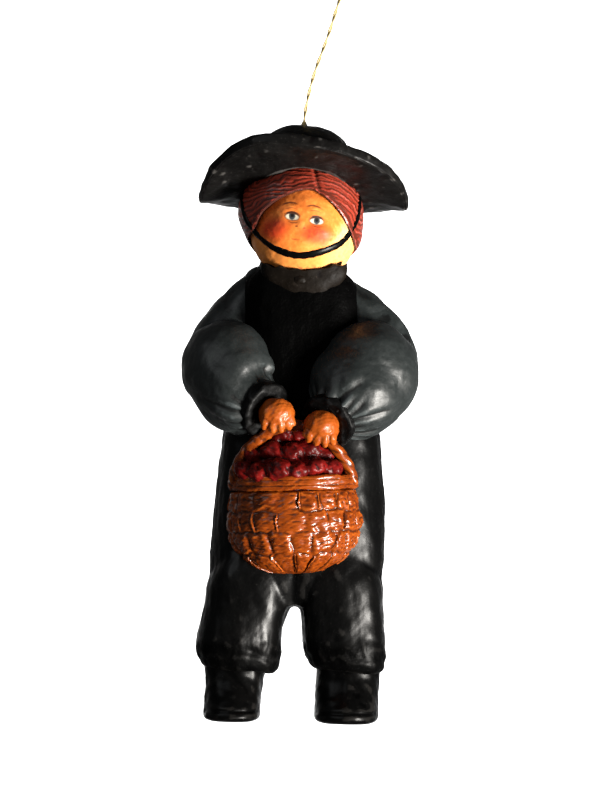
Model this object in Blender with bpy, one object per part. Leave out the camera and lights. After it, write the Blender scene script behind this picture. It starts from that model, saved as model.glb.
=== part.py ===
"""A pilgrim figure carved from one block of wood and painted, made to hang by a doubled thread.

Metres, +Z up. The figure faces -Y and +X is on the right of someone who looks at its face. It is worked out from its
soles up, and then hung below an empty, so that the world's origin is at the inside top of the thread's eye.
"""

import math

import bmesh
import bpy
from mathutils import Matrix, Vector

# Heights, each one counted up from the one before it, with the soles at zero
BOOT_HEIGHT = 0.0105
BREECHES_HEIGHT = 0.0123
SKIRT_HEIGHT = 0.0322
CHEST_HEIGHT = 0.0325
HEAD_RISE = 0.0098
HAT_RISE = 0.0018
CROWN_RISE = 0.0154

# Boots: distance of each boot's middle from the figure's middle, half sizes and the reach of toe and heel
BOOT_SPREAD = {"left": 0.0112, "right": 0.0108}
BOOT_HALF_WIDTH = {"left": 0.0055, "right": 0.0060}
SHAFT_HALF_DEPTH = 0.0068
TOE_REACH = 0.0108
TOE_HEIGHT = 0.0034
HEEL_REACH = 0.0066
SOLE_ROUNDING = 0.0012

# Breeches, gathered over the boots
KNEE_SPREAD = 0.0101
KNEE_HALF_WIDTH = 0.0080
KNEE_HALF_DEPTH = 0.0086
THIGH_SPREAD = 0.0088
THIGH_HALF_WIDTH = 0.0081
THIGH_HALF_DEPTH = 0.0090
KNEE_GATHER = 0.0008
LEG_OVERLAP = 0.0110

# Tunic, as half widths and half depths from the crotch to the neck
HEM_HALF_WIDTH = 0.0168
HEM_HALF_DEPTH = 0.0091
WAIST_HALF_WIDTH = 0.0152
WAIST_HALF_DEPTH = 0.0087
WAIST_SHIFT = 0.0008
CHEST_HALF_WIDTH = 0.0115
CHEST_HALF_DEPTH = 0.0086
SHOULDER_HALF_WIDTH = 0.0104
SHOULDER_HALF_DEPTH = 0.0072
SHOULDER_DROP = 0.0030
NECK_HALF_WIDTH = 0.0079
NECK_HALF_DEPTH = 0.0062
COLLAR_SHIFT = 0.0009
COLLAR_HALF_WIDTH = 0.0083
COLLAR_DROP = 0.0070
COLLAR_THICKNESS = 0.0026
BUTTON_RADIUS = 0.0011

# Upper sleeves, from the shoulder to the elbow
SHOULDER_RADIUS = 0.0042
SHOULDER_SETBACK = 0.0012
ELBOW_SPREAD = 0.0148
ELBOW_DROP = 0.0185
ELBOW_SETBACK = 0.0003
ELBOW_RADIUS = 0.0079
SLEEVE_BOW = {"left": 0.0008, "right": 0.0024}

# Puffed lower sleeves, in front of the upper ones
PUFF_SPREAD = {"left": 0.0134, "right": 0.0131}
PUFF_RADIUS = {"left": 0.0090, "right": 0.0099}
PUFF_DROP = 0.0205
PUFF_LENGTH = 0.0040
PUFF_REACH = 0.0048
FOLD_DEPTH = 0.0009
FOLD_COUNT = 7

# Cuffs and hands. A hand's rise is counted from the top of the basket's rim.
CUFF_RADIUS = 0.0050
CUFF_LENGTH = 0.0022
WRIST_RADIUS = 0.0039
HAND_SPREAD = {"left": 0.0038, "right": 0.0047}
HAND_RISE = {"left": 0.0113, "right": 0.0092}
HAND_REACH = 0.0146
HAND_RADIUS = 0.0034
FINGER_RADIUS = 0.0009
FINGER_LENGTH = 0.0026
FINGER_GAP = 0.0015
FINGERS = 4

# Basket. Its rise is counted from the crotch, and it leans a little, with its right side up.
BASKET_RISE = 0.0056
BASKET_HEIGHT = 0.0160
BASKET_HALF_WIDTH = 0.0134
BASKET_HALF_DEPTH = 0.0112
BASKET_SHIFT = 0.0001
BASKET_SETBACK = 0.0063
BASKET_LEAN = math.radians(2.5)
WEAVE_ROWS = 4
WEAVE_BLOCK_WIDTH = 0.0037
WEAVE_RELIEF = 0.0008
RIM_HEIGHT = 0.0030
RIM_BULGE = 0.0005
HANDLE_RADIUS = 0.0011
HANDLE_RISE = 0.0110
APPLE_RADIUS = 0.0022

# Head, hair and face, which share one middle
HEAD_HALF_WIDTH = 0.0103
HEAD_HALF_DEPTH = 0.0104
HEAD_HALF_HEIGHT = 0.0110
HEAD_MIDDLE = Vector((0.0007, -0.0006, -0.0026))
FACE_HALF_WIDTH = 0.0095
HAIR_HALF_WIDTH = 0.0120
HAIR_HALF_DEPTH = 0.0114
HAIR_HALF_HEIGHT = 0.0110
HAIR_GROOVE = 0.0004
LOCK_RADIUS = {"left": 0.0024, "right": 0.0030}
LOCK_SPREAD = {"left": 0.0090, "right": 0.0086}
LOCK_DROP = {"left": 0.0022, "right": 0.0050}
STRAND_COUNT = 15
FACE_RECESS = 0.22
NOSE_RADIUS = 0.0007
NOSE_SHIFT = -0.0008
NOSE_DROP = 0.0004
STRAP_RADIUS = 0.0007
PART_SPLIT = 0.0026

# Outline of the opening in the hair, as X and Z from the hair's middle. It runs from the top, down the right side,
# round below the chin and up the left side.
FACE_OUTLINE = (
    (0.0015, 0.0045), (0.0050, 0.0027), (0.0078, -0.0004), (0.0094, -0.0045), (0.0104, -0.0080), (0.0120, -0.0120),
    (0.0000, -0.0150), (-0.0130, -0.0105), (-0.0112, -0.0056), (-0.0089, -0.0028), (-0.0068, 0.0005),
    (-0.0033, 0.0031),
)
# Route of the chin strap, as X and Z from the same middle, from under the hat on the left to under it on the right
STRAP_ROUTE = (
    (-0.0116, 0.0034), (-0.0110, 0.0001), (-0.0096, -0.0028), (-0.0073, -0.0048), (-0.0051, -0.0066),
    (-0.0028, -0.0076), (-0.0001, -0.0081), (0.0026, -0.0076), (0.0050, -0.0068), (0.0072, -0.0059),
    (0.0088, -0.0044), (0.0102, -0.0024), (0.0110, -0.0004), (0.0113, 0.0030),
)

# Hat: reach of the brim's edge from the crown's middle, height of the edge above its sides, and the crown
BRIM_REACH = {"left": 0.0197, "right": 0.0203}
BRIM_FRONT = 0.0160
BRIM_BACK = 0.0150
BRIM_THICKNESS = 0.0022
BRIM_FRONT_LIFT = 0.0130
BRIM_BACK_LIFT = -0.0004
BRIM_SWEEP = {"left": 1.0, "right": 1.1}
BRIM_PEAK = math.radians(-14)
BRIM_CURL = 1.25
SEAT_LIFT = 0.0030
SEAT_TILT = 0.0052
CROWN_HALF_WIDTH = 0.0096
CROWN_HALF_DEPTH = 0.0096
CROWN_SHIFT = 0.0003
CROWN_SETBACK = 0.0006
CROWN_FILL = 0.84

# Thread: two strands of a metallic thread, twisted, with a knot in a drilled hole in the crown
STRAND_DIAMETER = 0.00035
KNOT_RADIUS = 0.0006
HOLE_DEPTH = 0.0014
CLEARANCE = 0.0003
EYE_LENGTH = 0.0080
EYE_WIDTH = 0.0046
# Route of the thread, as X, Y and Z from the crown's top
THREAD_ROUTE = (
    (0.0000, 0.0, 0.0012), (0.0002, 0.0, 0.0035), (0.0006, 0.0, 0.0058), (0.0012, 0.0, 0.0086), (0.0021, 0.0, 0.0118),
    (0.0033, 0.0, 0.0152), (0.0045, 0.0, 0.0188), (0.0055, 0.0, 0.0222), (0.0064, 0.0, 0.0254),
)
THREAD_POINTS = 16

# How finely the forms are cut into faces
AROUND_BODY = 22
AROUND_LEG = 16
AROUND_SLEEVE = 20
AROUND_ARM = 14
AROUND_CUFF = 12
AROUND_HAT = 28
AROUND_HAIR = 30
AROUND_SMALL = 6
WEAVE_COLUMNS = 4

SIDES = {"left": -1, "right": 1}
Z_KNEE = BOOT_HEIGHT
Z_CROTCH = Z_KNEE + BREECHES_HEIGHT
Z_WAIST = Z_CROTCH + SKIRT_HEIGHT
Z_NECK = Z_WAIST + CHEST_HEIGHT
Z_HEAD = Z_NECK + HEAD_RISE
Z_HAT = Z_HEAD + HAT_RISE
Z_CROWN = Z_HAT + CROWN_RISE
Z_BASKET = Z_CROTCH + BASKET_RISE
Z_RIM = Z_BASKET + BASKET_HEIGHT + RIM_HEIGHT
HAIR_CENTRE = Vector((0, 0, Z_HEAD))
HEAD_CENTRE = HAIR_CENTRE + HEAD_MIDDLE
CROWN_CENTRE = Vector((CROWN_SHIFT, CROWN_SETBACK, Z_HAT))
BASKET_CENTRE = Vector((BASKET_SHIFT, -BASKET_SETBACK, Z_BASKET))
CROWN_TOP = Vector((CROWN_CENTRE.x, CROWN_CENTRE.y, Z_CROWN))

FORMS = "carved_forms"


def clear_scene():
    for obj in list(bpy.data.objects):
        bpy.data.objects.remove(obj, do_unlink=True)


def paint(name, colour, roughness, metallic=0.0):
    """A plain painted finish."""
    material = bpy.data.materials.new(name)
    material.use_nodes = True
    material.diffuse_color = (*colour, 1)
    shader = material.node_tree.nodes["Principled BSDF"]
    shader.inputs["Base Color"].default_value = (*colour, 1)
    shader.inputs["Roughness"].default_value = roughness
    shader.inputs["Metallic"].default_value = metallic
    return material


def blend(a, b, share):
    return a + (b - a) * share


def smooth_route(points, steps, closed=False):
    """Points on a smooth curve through the given ones, with this many steps from each one to the next."""
    count = len(points)
    made = []
    for index in range(count if closed else count - 1):
        if closed:
            four = [points[(index + shift) % count] for shift in (-1, 0, 1, 2)]
        else:
            four = [points[min(max(index + shift, 0), count - 1)] for shift in (-1, 0, 1, 2)]
        for step in range(steps):
            t = step / steps
            made.append(
                tuple(
                    0.5 * (2 * b + (c - a) * t + (2 * a - 5 * b + 4 * c - d) * t**2 + (3 * b - a - 3 * c + d) * t**3)
                    for a, b, c, d in zip(*four)
                )
            )
    if not closed:
        made.append(tuple(points[-1]))
    return made


def add_mesh(name, points, faces, material, smooth_angle=50):
    mesh = bpy.data.meshes.new(name)
    mesh.from_pydata([tuple(point) for point in points], [], faces)
    flat = bmesh.new()
    flat.from_mesh(mesh)
    bmesh.ops.triangulate(flat, faces=flat.faces)
    flat.to_mesh(mesh)
    flat.free()
    mesh.materials.append(material)
    mesh.shade_smooth()
    mesh.set_sharp_from_angle(angle=math.radians(smooth_angle))
    obj = bpy.data.objects.new(name, mesh)
    bpy.context.scene.collection.objects.link(obj)
    return obj


def add_form(name, points, faces, material):
    """One of the forms that the figure is carved into: it is joined to the others and isn't a node."""
    obj = add_mesh(name, points, faces, material)
    bpy.context.scene.collection.objects.unlink(obj)
    bpy.data.collections[FORMS].objects.link(obj)
    obj.hide_render = True
    obj.display_type = "WIRE"
    return obj


def loft(rings, start, end):
    """Points and faces of a closed skin over rings of equally many points, from one pole to the other.

    Each ring runs anticlockwise as seen from the end pole.
    """
    around = len(rings[0])
    points = [start] + [point for ring in rings for point in ring] + [end]
    last = len(points) - 1
    faces = []
    for step in range(around):
        after = (step + 1) % around
        faces.append((0, 1 + after, 1 + step))
        for row in range(len(rings) - 1):
            low, high = 1 + row * around, 1 + (row + 1) * around
            faces.append((low + step, low + after, high + after, high + step))
        top = 1 + (len(rings) - 1) * around
        faces.append((top + step, top + after, last))
    return points, faces


def slab_ring(centre, half_width, front, back, around=AROUND_BODY, facet=0.93, roundness=4.0):
    """A level ring, a rounded rectangle with its corners planed off. Front and back are its reaches in Y."""
    ring = []
    for step in range(around):
        angle = 2 * math.pi * step / around
        x, y = math.cos(angle), math.sin(angle)
        depth = back if y > 0 else front
        corner = facet * (half_width + depth)
        walls = (x / half_width, y / depth, (abs(x) + abs(y)) / corner)
        reach = sum(abs(wall) ** roundness for wall in walls) ** (-1 / roundness)
        wide = (1 + (half_width / corner) ** roundness) ** (1 / roundness)
        deep = (1 + (depth / corner) ** roundness) ** (1 / roundness)
        ring.append(centre + Vector((reach * x * wide, reach * y * deep, 0)))
    return ring


def slab_column(name, rows, material, around=AROUND_BODY, steps=2):
    """A column of level rings. Each row gives X, Y and Z of the middle, the half width and the reaches in Y."""
    rings = []
    for x, y, z, half_width, front, back in smooth_route(rows, steps):
        rings.append(slab_ring(Vector((x, y, z)), half_width, front, back, around))
    low, high = rings[0], rings[-1]
    poles = [sum(ring, Vector()) / len(ring) for ring in (low, high)]
    return add_form(name, *loft(rings, *poles), material)


def ball_shape(centre, radii, turn=None, rows=8, around=16):
    """Points and faces of a ball with three radii."""
    turn = turn or Matrix.Identity(3)
    rings = []
    for row in range(1, rows):
        tilt = math.pi * row / rows
        ring = []
        for step in range(around):
            angle = 2 * math.pi * step / around
            unit = Vector((math.sin(tilt) * math.cos(angle), math.sin(tilt) * math.sin(angle), -math.cos(tilt)))
            ring.append(centre + turn @ Vector(u * r for u, r in zip(unit, radii)))
        rings.append(ring)
    pole = turn @ Vector((0, 0, radii[2]))
    return loft(rings, centre - pole, centre + pole)


def frames_along(route):
    """For each point of the route, its two cross directions and its own direction, turning as little as they can."""
    frames = []
    across = None
    for index, point in enumerate(route):
        along = (route[min(index + 1, len(route) - 1)] - route[max(index - 1, 0)]).normalized()
        if across is None:
            across = along.orthogonal().normalized()
        across = (across - along * across.dot(along)).normalized()
        frames.append((across, along.cross(across), along))
    return frames


def limb_shape(route, radii, steps=2, around=AROUND_SMALL, caps=1, ripple=None, thick=False):
    """Points and faces of a round limb along a smooth route, with rounded ends.

    ripple gives a share that is added to the radius, from the angle around and the share of the way along. The rings
    of a thick limb are all square to the line from its start to its end, so that it can't cross itself in a bend.
    """
    rows = smooth_route([(*point, radius) for point, radius in zip(route, radii)], steps)
    centres = [Vector(row[:3]) for row in rows]
    sizes = [row[3] for row in rows]
    if thick:
        frames = frames_along([centres[0], centres[-1]])[:1] * len(centres)
    else:
        frames = frames_along(centres)
    stations = []
    for cap in range(caps, 0, -1):
        tilt = math.pi / 2 * cap / (caps + 1)
        stations.append((centres[0] - frames[0][2] * sizes[0] * math.sin(tilt), sizes[0] * math.cos(tilt), 0))
    for index, (centre, size) in enumerate(zip(centres, sizes)):
        stations.append((centre, size, index))
    for cap in range(1, caps + 1):
        tilt = math.pi / 2 * cap / (caps + 1)
        stations.append((centres[-1] + frames[-1][2] * sizes[-1] * math.sin(tilt), sizes[-1] * math.cos(tilt), -1))
    rings = []
    for row, (centre, size, index) in enumerate(stations):
        across, up, _ = frames[index]
        ring = []
        for step in range(around):
            angle = 2 * math.pi * step / around
            reach = size * (1 + (ripple(angle, row / (len(stations) - 1)) if ripple else 0))
            ring.append(centre + (across * math.cos(angle) + up * math.sin(angle)) * reach)
        rings.append(ring)
    return loft(rings, centres[0] - frames[0][2] * sizes[0], centres[-1] + frames[-1][2] * sizes[-1])


def add_boots(material):
    for side, sign in SIDES.items():
        middle = sign * BOOT_SPREAD[side]
        width = BOOT_HALF_WIDTH[side]
        toe_step = (TOE_REACH - SHAFT_HALF_DEPTH) * 0.7
        hidden = SHAFT_HALF_DEPTH * 0.9
        rows = (
            (middle, 0, 0, width - SOLE_ROUNDING, TOE_REACH - SOLE_ROUNDING, HEEL_REACH - SOLE_ROUNDING),
            (middle, 0, SOLE_ROUNDING * 0.35, width - SOLE_ROUNDING * 0.3, TOE_REACH - SOLE_ROUNDING * 0.3, HEEL_REACH),
            (middle, 0, SOLE_ROUNDING, width, TOE_REACH, HEEL_REACH),
            (middle, 0, TOE_HEIGHT, width, TOE_REACH - toe_step * 0.3, HEEL_REACH),
            (middle, 0, TOE_HEIGHT * 1.7, width, SHAFT_HALF_DEPTH + toe_step * 0.25, SHAFT_HALF_DEPTH),
            (middle, 0, blend(TOE_HEIGHT * 1.7, BOOT_HEIGHT, 0.5), width, SHAFT_HALF_DEPTH, SHAFT_HALF_DEPTH),
            (middle, 0, BOOT_HEIGHT + BREECHES_HEIGHT * 0.3, width * 0.9, hidden, hidden),
        )
        slab_column(f"{side}_boot", rows, material, AROUND_LEG, steps=1)


def add_breeches(material):
    above_knee = (blend(KNEE_SPREAD, THIGH_SPREAD, 0.6), blend(KNEE_HALF_WIDTH, THIGH_HALF_WIDTH, 0.6))
    for side, sign in SIDES.items():
        rows = []
        for lift, spread, width, depth in (
            (0.0, KNEE_SPREAD, KNEE_HALF_WIDTH - 2 * KNEE_GATHER, KNEE_HALF_DEPTH - 2 * KNEE_GATHER),
            (0.07, KNEE_SPREAD, KNEE_HALF_WIDTH - KNEE_GATHER, KNEE_HALF_DEPTH - KNEE_GATHER),
            (0.20, KNEE_SPREAD, KNEE_HALF_WIDTH - 0.2 * KNEE_GATHER, KNEE_HALF_DEPTH),
            (0.40, KNEE_SPREAD, KNEE_HALF_WIDTH, KNEE_HALF_DEPTH + 0.3 * KNEE_GATHER),
            (0.70, *above_knee, THIGH_HALF_DEPTH),
            (1.00, THIGH_SPREAD, THIGH_HALF_WIDTH, THIGH_HALF_DEPTH),
        ):
            z = Z_KNEE - 0.5 * KNEE_GATHER + lift * BREECHES_HEIGHT
            rows.append((sign * spread, 0, z, width, depth, depth * 0.96))
        spread, width, depth = THIGH_SPREAD * 0.92, THIGH_HALF_WIDTH, THIGH_HALF_DEPTH
        rows.append((sign * spread, 0, Z_CROTCH + LEG_OVERLAP * 0.55, width * 0.98, depth, depth * 0.96))
        rows.append((sign * spread * 0.94, 0, Z_CROTCH + LEG_OVERLAP, width * 0.8, depth * 0.8, depth * 0.8))
        slab_column(f"{side}_breeches", rows, material, AROUND_LEG, steps=1)


def torso_rows():
    hem_lift = max(SKIRT_HEIGHT * 0.5, LEG_OVERLAP * 1.2)
    half_way = blend(HEM_HALF_WIDTH, WAIST_HALF_WIDTH, 0.35)
    return (
        (0, 0, Z_CROTCH, THIGH_SPREAD, HEM_HALF_DEPTH * 0.62, HEM_HALF_DEPTH * 0.62),
        (0, 0, Z_CROTCH + LEG_OVERLAP * 0.4, HEM_HALF_WIDTH * 0.93, HEM_HALF_DEPTH * 0.86, HEM_HALF_DEPTH * 0.9),
        (WAIST_SHIFT * 0.6, 0, Z_CROTCH + LEG_OVERLAP, HEM_HALF_WIDTH * 0.98, HEM_HALF_DEPTH, HEM_HALF_DEPTH),
        (WAIST_SHIFT * 0.8, 0, Z_CROTCH + hem_lift, half_way, HEM_HALF_DEPTH, HEM_HALF_DEPTH),
        (WAIST_SHIFT, 0, Z_WAIST, WAIST_HALF_WIDTH, WAIST_HALF_DEPTH, WAIST_HALF_DEPTH),
        (WAIST_SHIFT * 0.4, 0, Z_WAIST + CHEST_HEIGHT * 0.6, CHEST_HALF_WIDTH, CHEST_HALF_DEPTH, CHEST_HALF_DEPTH),
        (0, 0, Z_NECK - SHOULDER_DROP, SHOULDER_HALF_WIDTH, SHOULDER_HALF_DEPTH, SHOULDER_HALF_DEPTH),
        (0, 0, Z_NECK - SHOULDER_DROP * 0.25, NECK_HALF_WIDTH * 1.05, NECK_HALF_DEPTH * 1.05, NECK_HALF_DEPTH * 1.05),
        (0, 0, Z_NECK + HEAD_RISE * 0.12, NECK_HALF_WIDTH, NECK_HALF_DEPTH, NECK_HALF_DEPTH),
    )


def add_collar(material):
    """The low collar, a thin shield below the chin, and its button."""
    middle = Vector((COLLAR_SHIFT, -NECK_HALF_DEPTH * 0.90, Z_NECK + COLLAR_DROP * 0.14))
    radii = (COLLAR_HALF_WIDTH, COLLAR_THICKNESS, COLLAR_DROP)
    add_form("collar", *ball_shape(middle, radii, rows=8, around=18), material)
    button = middle + Vector((-COLLAR_SHIFT, -COLLAR_THICKNESS * 0.82, -COLLAR_DROP * 0.53))
    radii = (BUTTON_RADIUS * 1.2, BUTTON_RADIUS * 0.6, BUTTON_RADIUS)
    add_form("collar_button", *ball_shape(button, radii, rows=6, around=10), material)


def elbow_of(sign):
    return Vector((sign * ELBOW_SPREAD, ELBOW_SETBACK, Z_NECK - SHOULDER_DROP - ELBOW_DROP))


def hand_of(side, sign):
    return Vector((sign * HAND_SPREAD[side], -HAND_REACH, Z_RIM + HAND_RISE[side]))


def add_upper_sleeves(material):
    for side, sign in SIDES.items():
        drop = SHOULDER_DROP + SHOULDER_RADIUS * 0.3
        shoulder = Vector((sign * SHOULDER_HALF_WIDTH * 0.66, SHOULDER_SETBACK, Z_NECK - drop))
        elbow = elbow_of(sign)
        bow = Vector((sign * SLEEVE_BOW[side], SLEEVE_BOW["left"] * 0.75, 0))
        route = (shoulder, shoulder.lerp(elbow, 0.35) + bow, shoulder.lerp(elbow, 0.7) + bow, elbow)
        radii = [blend(SHOULDER_RADIUS, ELBOW_RADIUS, share) for share in (0, 0.45, 0.85, 1)]
        shape = limb_shape(route, radii, around=AROUND_ARM, caps=2, thick=True)
        add_form(f"{side}_upper_sleeve", *shape, material)


def sleeve_fold(angle, share):
    """Folds that run along the sleeve and grow towards the cuff."""
    growth = min(max((share - 0.30) / 0.30, 0), 1) * min(max((0.97 - share) / 0.15, 0), 1)
    wave = math.sin(FOLD_COUNT * angle + 2.0 * share) + 0.4 * math.sin((FOLD_COUNT + 4) * angle + 1.0)
    return FOLD_DEPTH * growth * wave / PUFF_RADIUS["right"]


def wrist_of(side, sign):
    """The middle of the cuff, behind the hand and a little further out."""
    return hand_of(side, sign) + Vector((sign * WRIST_RADIUS * 0.42, WRIST_RADIUS * 0.62, WRIST_RADIUS * 0.40))


def add_lower_sleeves(material):
    for side, sign in SIDES.items():
        radius = PUFF_RADIUS[side]
        wrist = wrist_of(side, sign)
        middle = Vector((sign * PUFF_SPREAD[side], -PUFF_REACH, Z_NECK - PUFF_DROP))
        route = (
            middle + Vector((-sign * 0.1 * PUFF_LENGTH, PUFF_REACH * 0.5, PUFF_LENGTH * 0.6)),
            middle + Vector((0, 0, -PUFF_LENGTH * 0.15)),
            middle.lerp(wrist, 0.45) + Vector((sign * 0.1 * radius, 0, -0.1 * radius)),
            middle.lerp(wrist, 0.62),
            middle.lerp(wrist, 0.80),
        )
        radii = (radius * 0.86, radius, radius * 0.93, radius * 0.80, CUFF_RADIUS * 0.93)
        shape = limb_shape(route, radii, around=AROUND_SLEEVE, caps=3, ripple=sleeve_fold, thick=True)
        add_form(f"{side}_lower_sleeve", *shape, material)


def add_cuffs_and_hands(cuff_paint, skin):
    for side, sign in SIDES.items():
        hand = hand_of(side, sign)
        wrist = wrist_of(side, sign)
        forward = (hand - wrist).normalized()
        start = wrist - forward * CUFF_LENGTH * 0.1
        radii = (CUFF_RADIUS, CUFF_RADIUS * 1.02)
        rings = []
        for share, size in ((0.0, 0.93), (0.08, 1.0), (0.5, 1.03), (0.92, 1.0), (1.0, 0.92)):
            across = Vector((0, 0, 1)).cross(forward).normalized()
            up = forward.cross(across)
            ring = []
            for step in range(AROUND_CUFF):
                angle = 2 * math.pi * step / AROUND_CUFF
                spoke = across * math.cos(angle) * radii[0] + up * math.sin(angle) * radii[1]
                ring.append(start + forward * CUFF_LENGTH * share + spoke * size)
            rings.append(ring)
        add_form(f"{side}_cuff", *loft(rings, start, start + forward * CUFF_LENGTH), cuff_paint)
        radii = (HAND_RADIUS * 1.02, HAND_RADIUS * 1.05, HAND_RADIUS)
        add_form(f"{side}_hand", *ball_shape(hand, radii, rows=6, around=12), skin)
        add_fingers(side, sign, hand, skin)


def add_fingers(side, sign, hand, skin):
    """Short fingers that hang from the knuckles over the apples, side by side."""
    for index in range(FINGERS):
        shift = (index - (FINGERS - 1) / 2) * FINGER_GAP
        x = shift - sign * FINGER_GAP * 0.25
        knuckle = hand + Vector((x * 0.9, -HAND_RADIUS * 0.60, -HAND_RADIUS * 0.05))
        tip = hand + Vector((x, -HAND_RADIUS * 0.50, -HAND_RADIUS * 0.05 - FINGER_LENGTH + 0.25 * abs(shift)))
        bend = knuckle.lerp(tip, 0.5) + Vector((0, -FINGER_RADIUS * 0.5, 0))
        radii = (FINGER_RADIUS, FINGER_RADIUS * 1.05, FINGER_RADIUS * 0.85)
        add_form(f"{side}_finger_{index + 1}", *limb_shape((knuckle, bend, tip), radii, steps=1), skin)


def basket_place(x, y, z):
    """A point of the basket, given from the middle of its bottom, with the basket's lean."""
    return BASKET_CENTRE + Matrix.Rotation(-BASKET_LEAN, 3, "Y") @ Vector((x, y, z))


def basket_profile(share):
    """Width of the basket as a share of its widest, from the bottom at 0 to the rim at 1."""
    return (1 - (1 - min(share / 0.66, 1)) ** 2.5) ** 0.5 * (1 - 0.06 * max(share - 0.66, 0) / 0.34)


def weave_height(along, row):
    """How far the weave stands out, with brick-like blocks that lie over and under the stakes."""
    across = (along + 0.5 * (int(row) % 2)) % 1
    level = row % 1
    pillow = (1 - abs(2 * across - 1) ** 4) * (1 - abs(2 * level - 1) ** 4)
    block = math.floor(along + 0.5 * (int(row) % 2))
    lift = 0.72 + 0.28 * math.sin(2.4 * block + 1.9 * int(row))
    return pillow * lift


def add_basket(material):
    blocks = round(math.pi * (BASKET_HALF_WIDTH + BASKET_HALF_DEPTH) / 2 / WEAVE_BLOCK_WIDTH) + 1
    front = [index / WEAVE_COLUMNS for index in range(blocks * WEAVE_COLUMNS + 1)]
    sweep = math.pi * 1.08
    angles = [(-math.pi / 2 - sweep / 2 + sweep * value / blocks, value) for value in front]
    back_steps = 6
    for step in range(1, back_steps):
        angles.append((-math.pi / 2 + sweep / 2 + (2 * math.pi - sweep) * step / back_steps, None))
    rings = []
    for row_index in range(WEAVE_ROWS):
        for level in (0.0, 0.25, 0.75):
            row = row_index + level
            share = (row + 0.18) / (WEAVE_ROWS + 0.18)
            size = basket_profile(share)
            ring = []
            for angle, along in angles:
                relief = 0 if along is None else WEAVE_RELIEF * weave_height(along, row)
                width = BASKET_HALF_WIDTH * size - WEAVE_RELIEF + relief
                depth = BASKET_HALF_DEPTH * size - WEAVE_RELIEF + relief
                ring.append(basket_place(width * math.cos(angle), depth * math.sin(angle), BASKET_HEIGHT * share))
            rings.append(ring)
    for rise, bulge in ((0.0, 0.0), (0.12, 1.0), (0.80, 1.0), (1.0, 0.2)):
        ring = []
        for angle, _ in angles:
            width = BASKET_HALF_WIDTH * 0.945 - WEAVE_RELIEF * 0.5 + RIM_BULGE * bulge
            depth = BASKET_HALF_DEPTH * 0.945 - WEAVE_RELIEF * 0.5 + RIM_BULGE * bulge
            z = BASKET_HEIGHT + RIM_HEIGHT * rise
            ring.append(basket_place(width * math.cos(angle), depth * math.sin(angle), z))
        rings.append(ring)
    top = basket_place(0, 0, BASKET_HEIGHT + RIM_HEIGHT)
    add_form("basket", *loft(rings, basket_place(0, 0, 0), top), material)


def add_handle(material):
    side = BASKET_HALF_WIDTH * 0.9
    rim = BASKET_HEIGHT + RIM_HEIGHT * 0.5
    reach = BASKET_HALF_DEPTH * 0.42
    route = [
        basket_place(sign * side * width, -reach * forward, rim + HANDLE_RISE * rise)
        for sign, width, forward, rise in (
            (-1, 1.0, 0.6, 0.0), (-1, 0.96, 0.8, 0.25), (-1, 0.81, 1.0, 0.53), (-1, 0.58, 1.2, 0.76),
            (-1, 0.28, 1.3, 0.95), (1, 0.05, 1.35, 1.0), (1, 0.36, 1.3, 0.92), (1, 0.60, 1.2, 0.74),
            (1, 0.78, 1.0, 0.52), (1, 0.94, 0.8, 0.25), (1, 1.0, 0.6, 0.0),
        )
    ]
    radii = [HANDLE_RADIUS] * len(route)
    add_form("basket_handle", *limb_shape(route, radii), material)


def add_apples(material):
    """A heap: each apple is given as shares of the basket's half width and depth, and of an apple's radius up."""
    heap = (
        (-0.70, -0.50, 0.55), (-0.46, -0.66, 0.35), (-0.18, -0.74, 0.60), (0.12, -0.74, 0.45), (0.40, -0.66, 0.70),
        (0.66, -0.52, 0.50), (-0.56, -0.34, 2.0), (-0.28, -0.46, 2.3), (0.04, -0.50, 2.1), (0.32, -0.42, 2.4),
        (0.56, -0.28, 1.9), (-0.12, -0.30, 3.8), (0.16, -0.26, 3.7),
    )
    middle = basket_place(0, -BASKET_HALF_DEPTH * 0.1, BASKET_HEIGHT + RIM_HEIGHT * 0.6)
    radii = (BASKET_HALF_WIDTH * 0.8, BASKET_HALF_DEPTH * 0.7, APPLE_RADIUS * 3)
    add_form("apple_heap", *ball_shape(middle, radii, rows=6, around=14), material)
    for index, (across, forward, up) in enumerate(heap):
        radius = APPLE_RADIUS * (1 + 0.10 * math.sin(2.3 * index))
        x = across * BASKET_HALF_WIDTH
        y = forward * BASKET_HALF_DEPTH
        centre = basket_place(x, y, BASKET_HEIGHT + RIM_HEIGHT + up * radius * 0.9)
        radii = (radius, radius, radius * 0.94)
        add_form(f"apple_{index + 1}", *ball_shape(centre, radii, rows=4, around=8), material)


def on_head(x, z, out=0.0):
    """The point on the front of the head or hair at this X and Z, whichever lies further forward."""
    found = []
    for centre, radii in (
        (HEAD_CENTRE, (HEAD_HALF_WIDTH, HEAD_HALF_DEPTH, HEAD_HALF_HEIGHT)),
        (HAIR_CENTRE, (HAIR_HALF_WIDTH, HAIR_HALF_DEPTH, HAIR_HALF_HEIGHT)),
    ):
        inside = 1 - ((x - centre.x) / radii[0]) ** 2 - ((z - centre.z) / radii[2]) ** 2
        found.append(centre.y - radii[1] * math.sqrt(max(inside, 0.02)))
    within = abs(x) < FACE_HALF_WIDTH and z < HAIR_CENTRE.z
    return Vector((x, (found[0] if within else found[1]) - out, z))


def hair_groove(x, z):
    """The carved strands, which sweep down and out on both sides of the parting."""
    run = (x - PART_SPLIT) * (1 if x > PART_SPLIT else -1)
    phase = (z / HAIR_HALF_HEIGHT + (run / HAIR_HALF_WIDTH) ** 2 * 0.9) * STRAND_COUNT * 1.6
    return HAIR_GROOVE * (math.cos(phase) - 1) * 0.5


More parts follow.
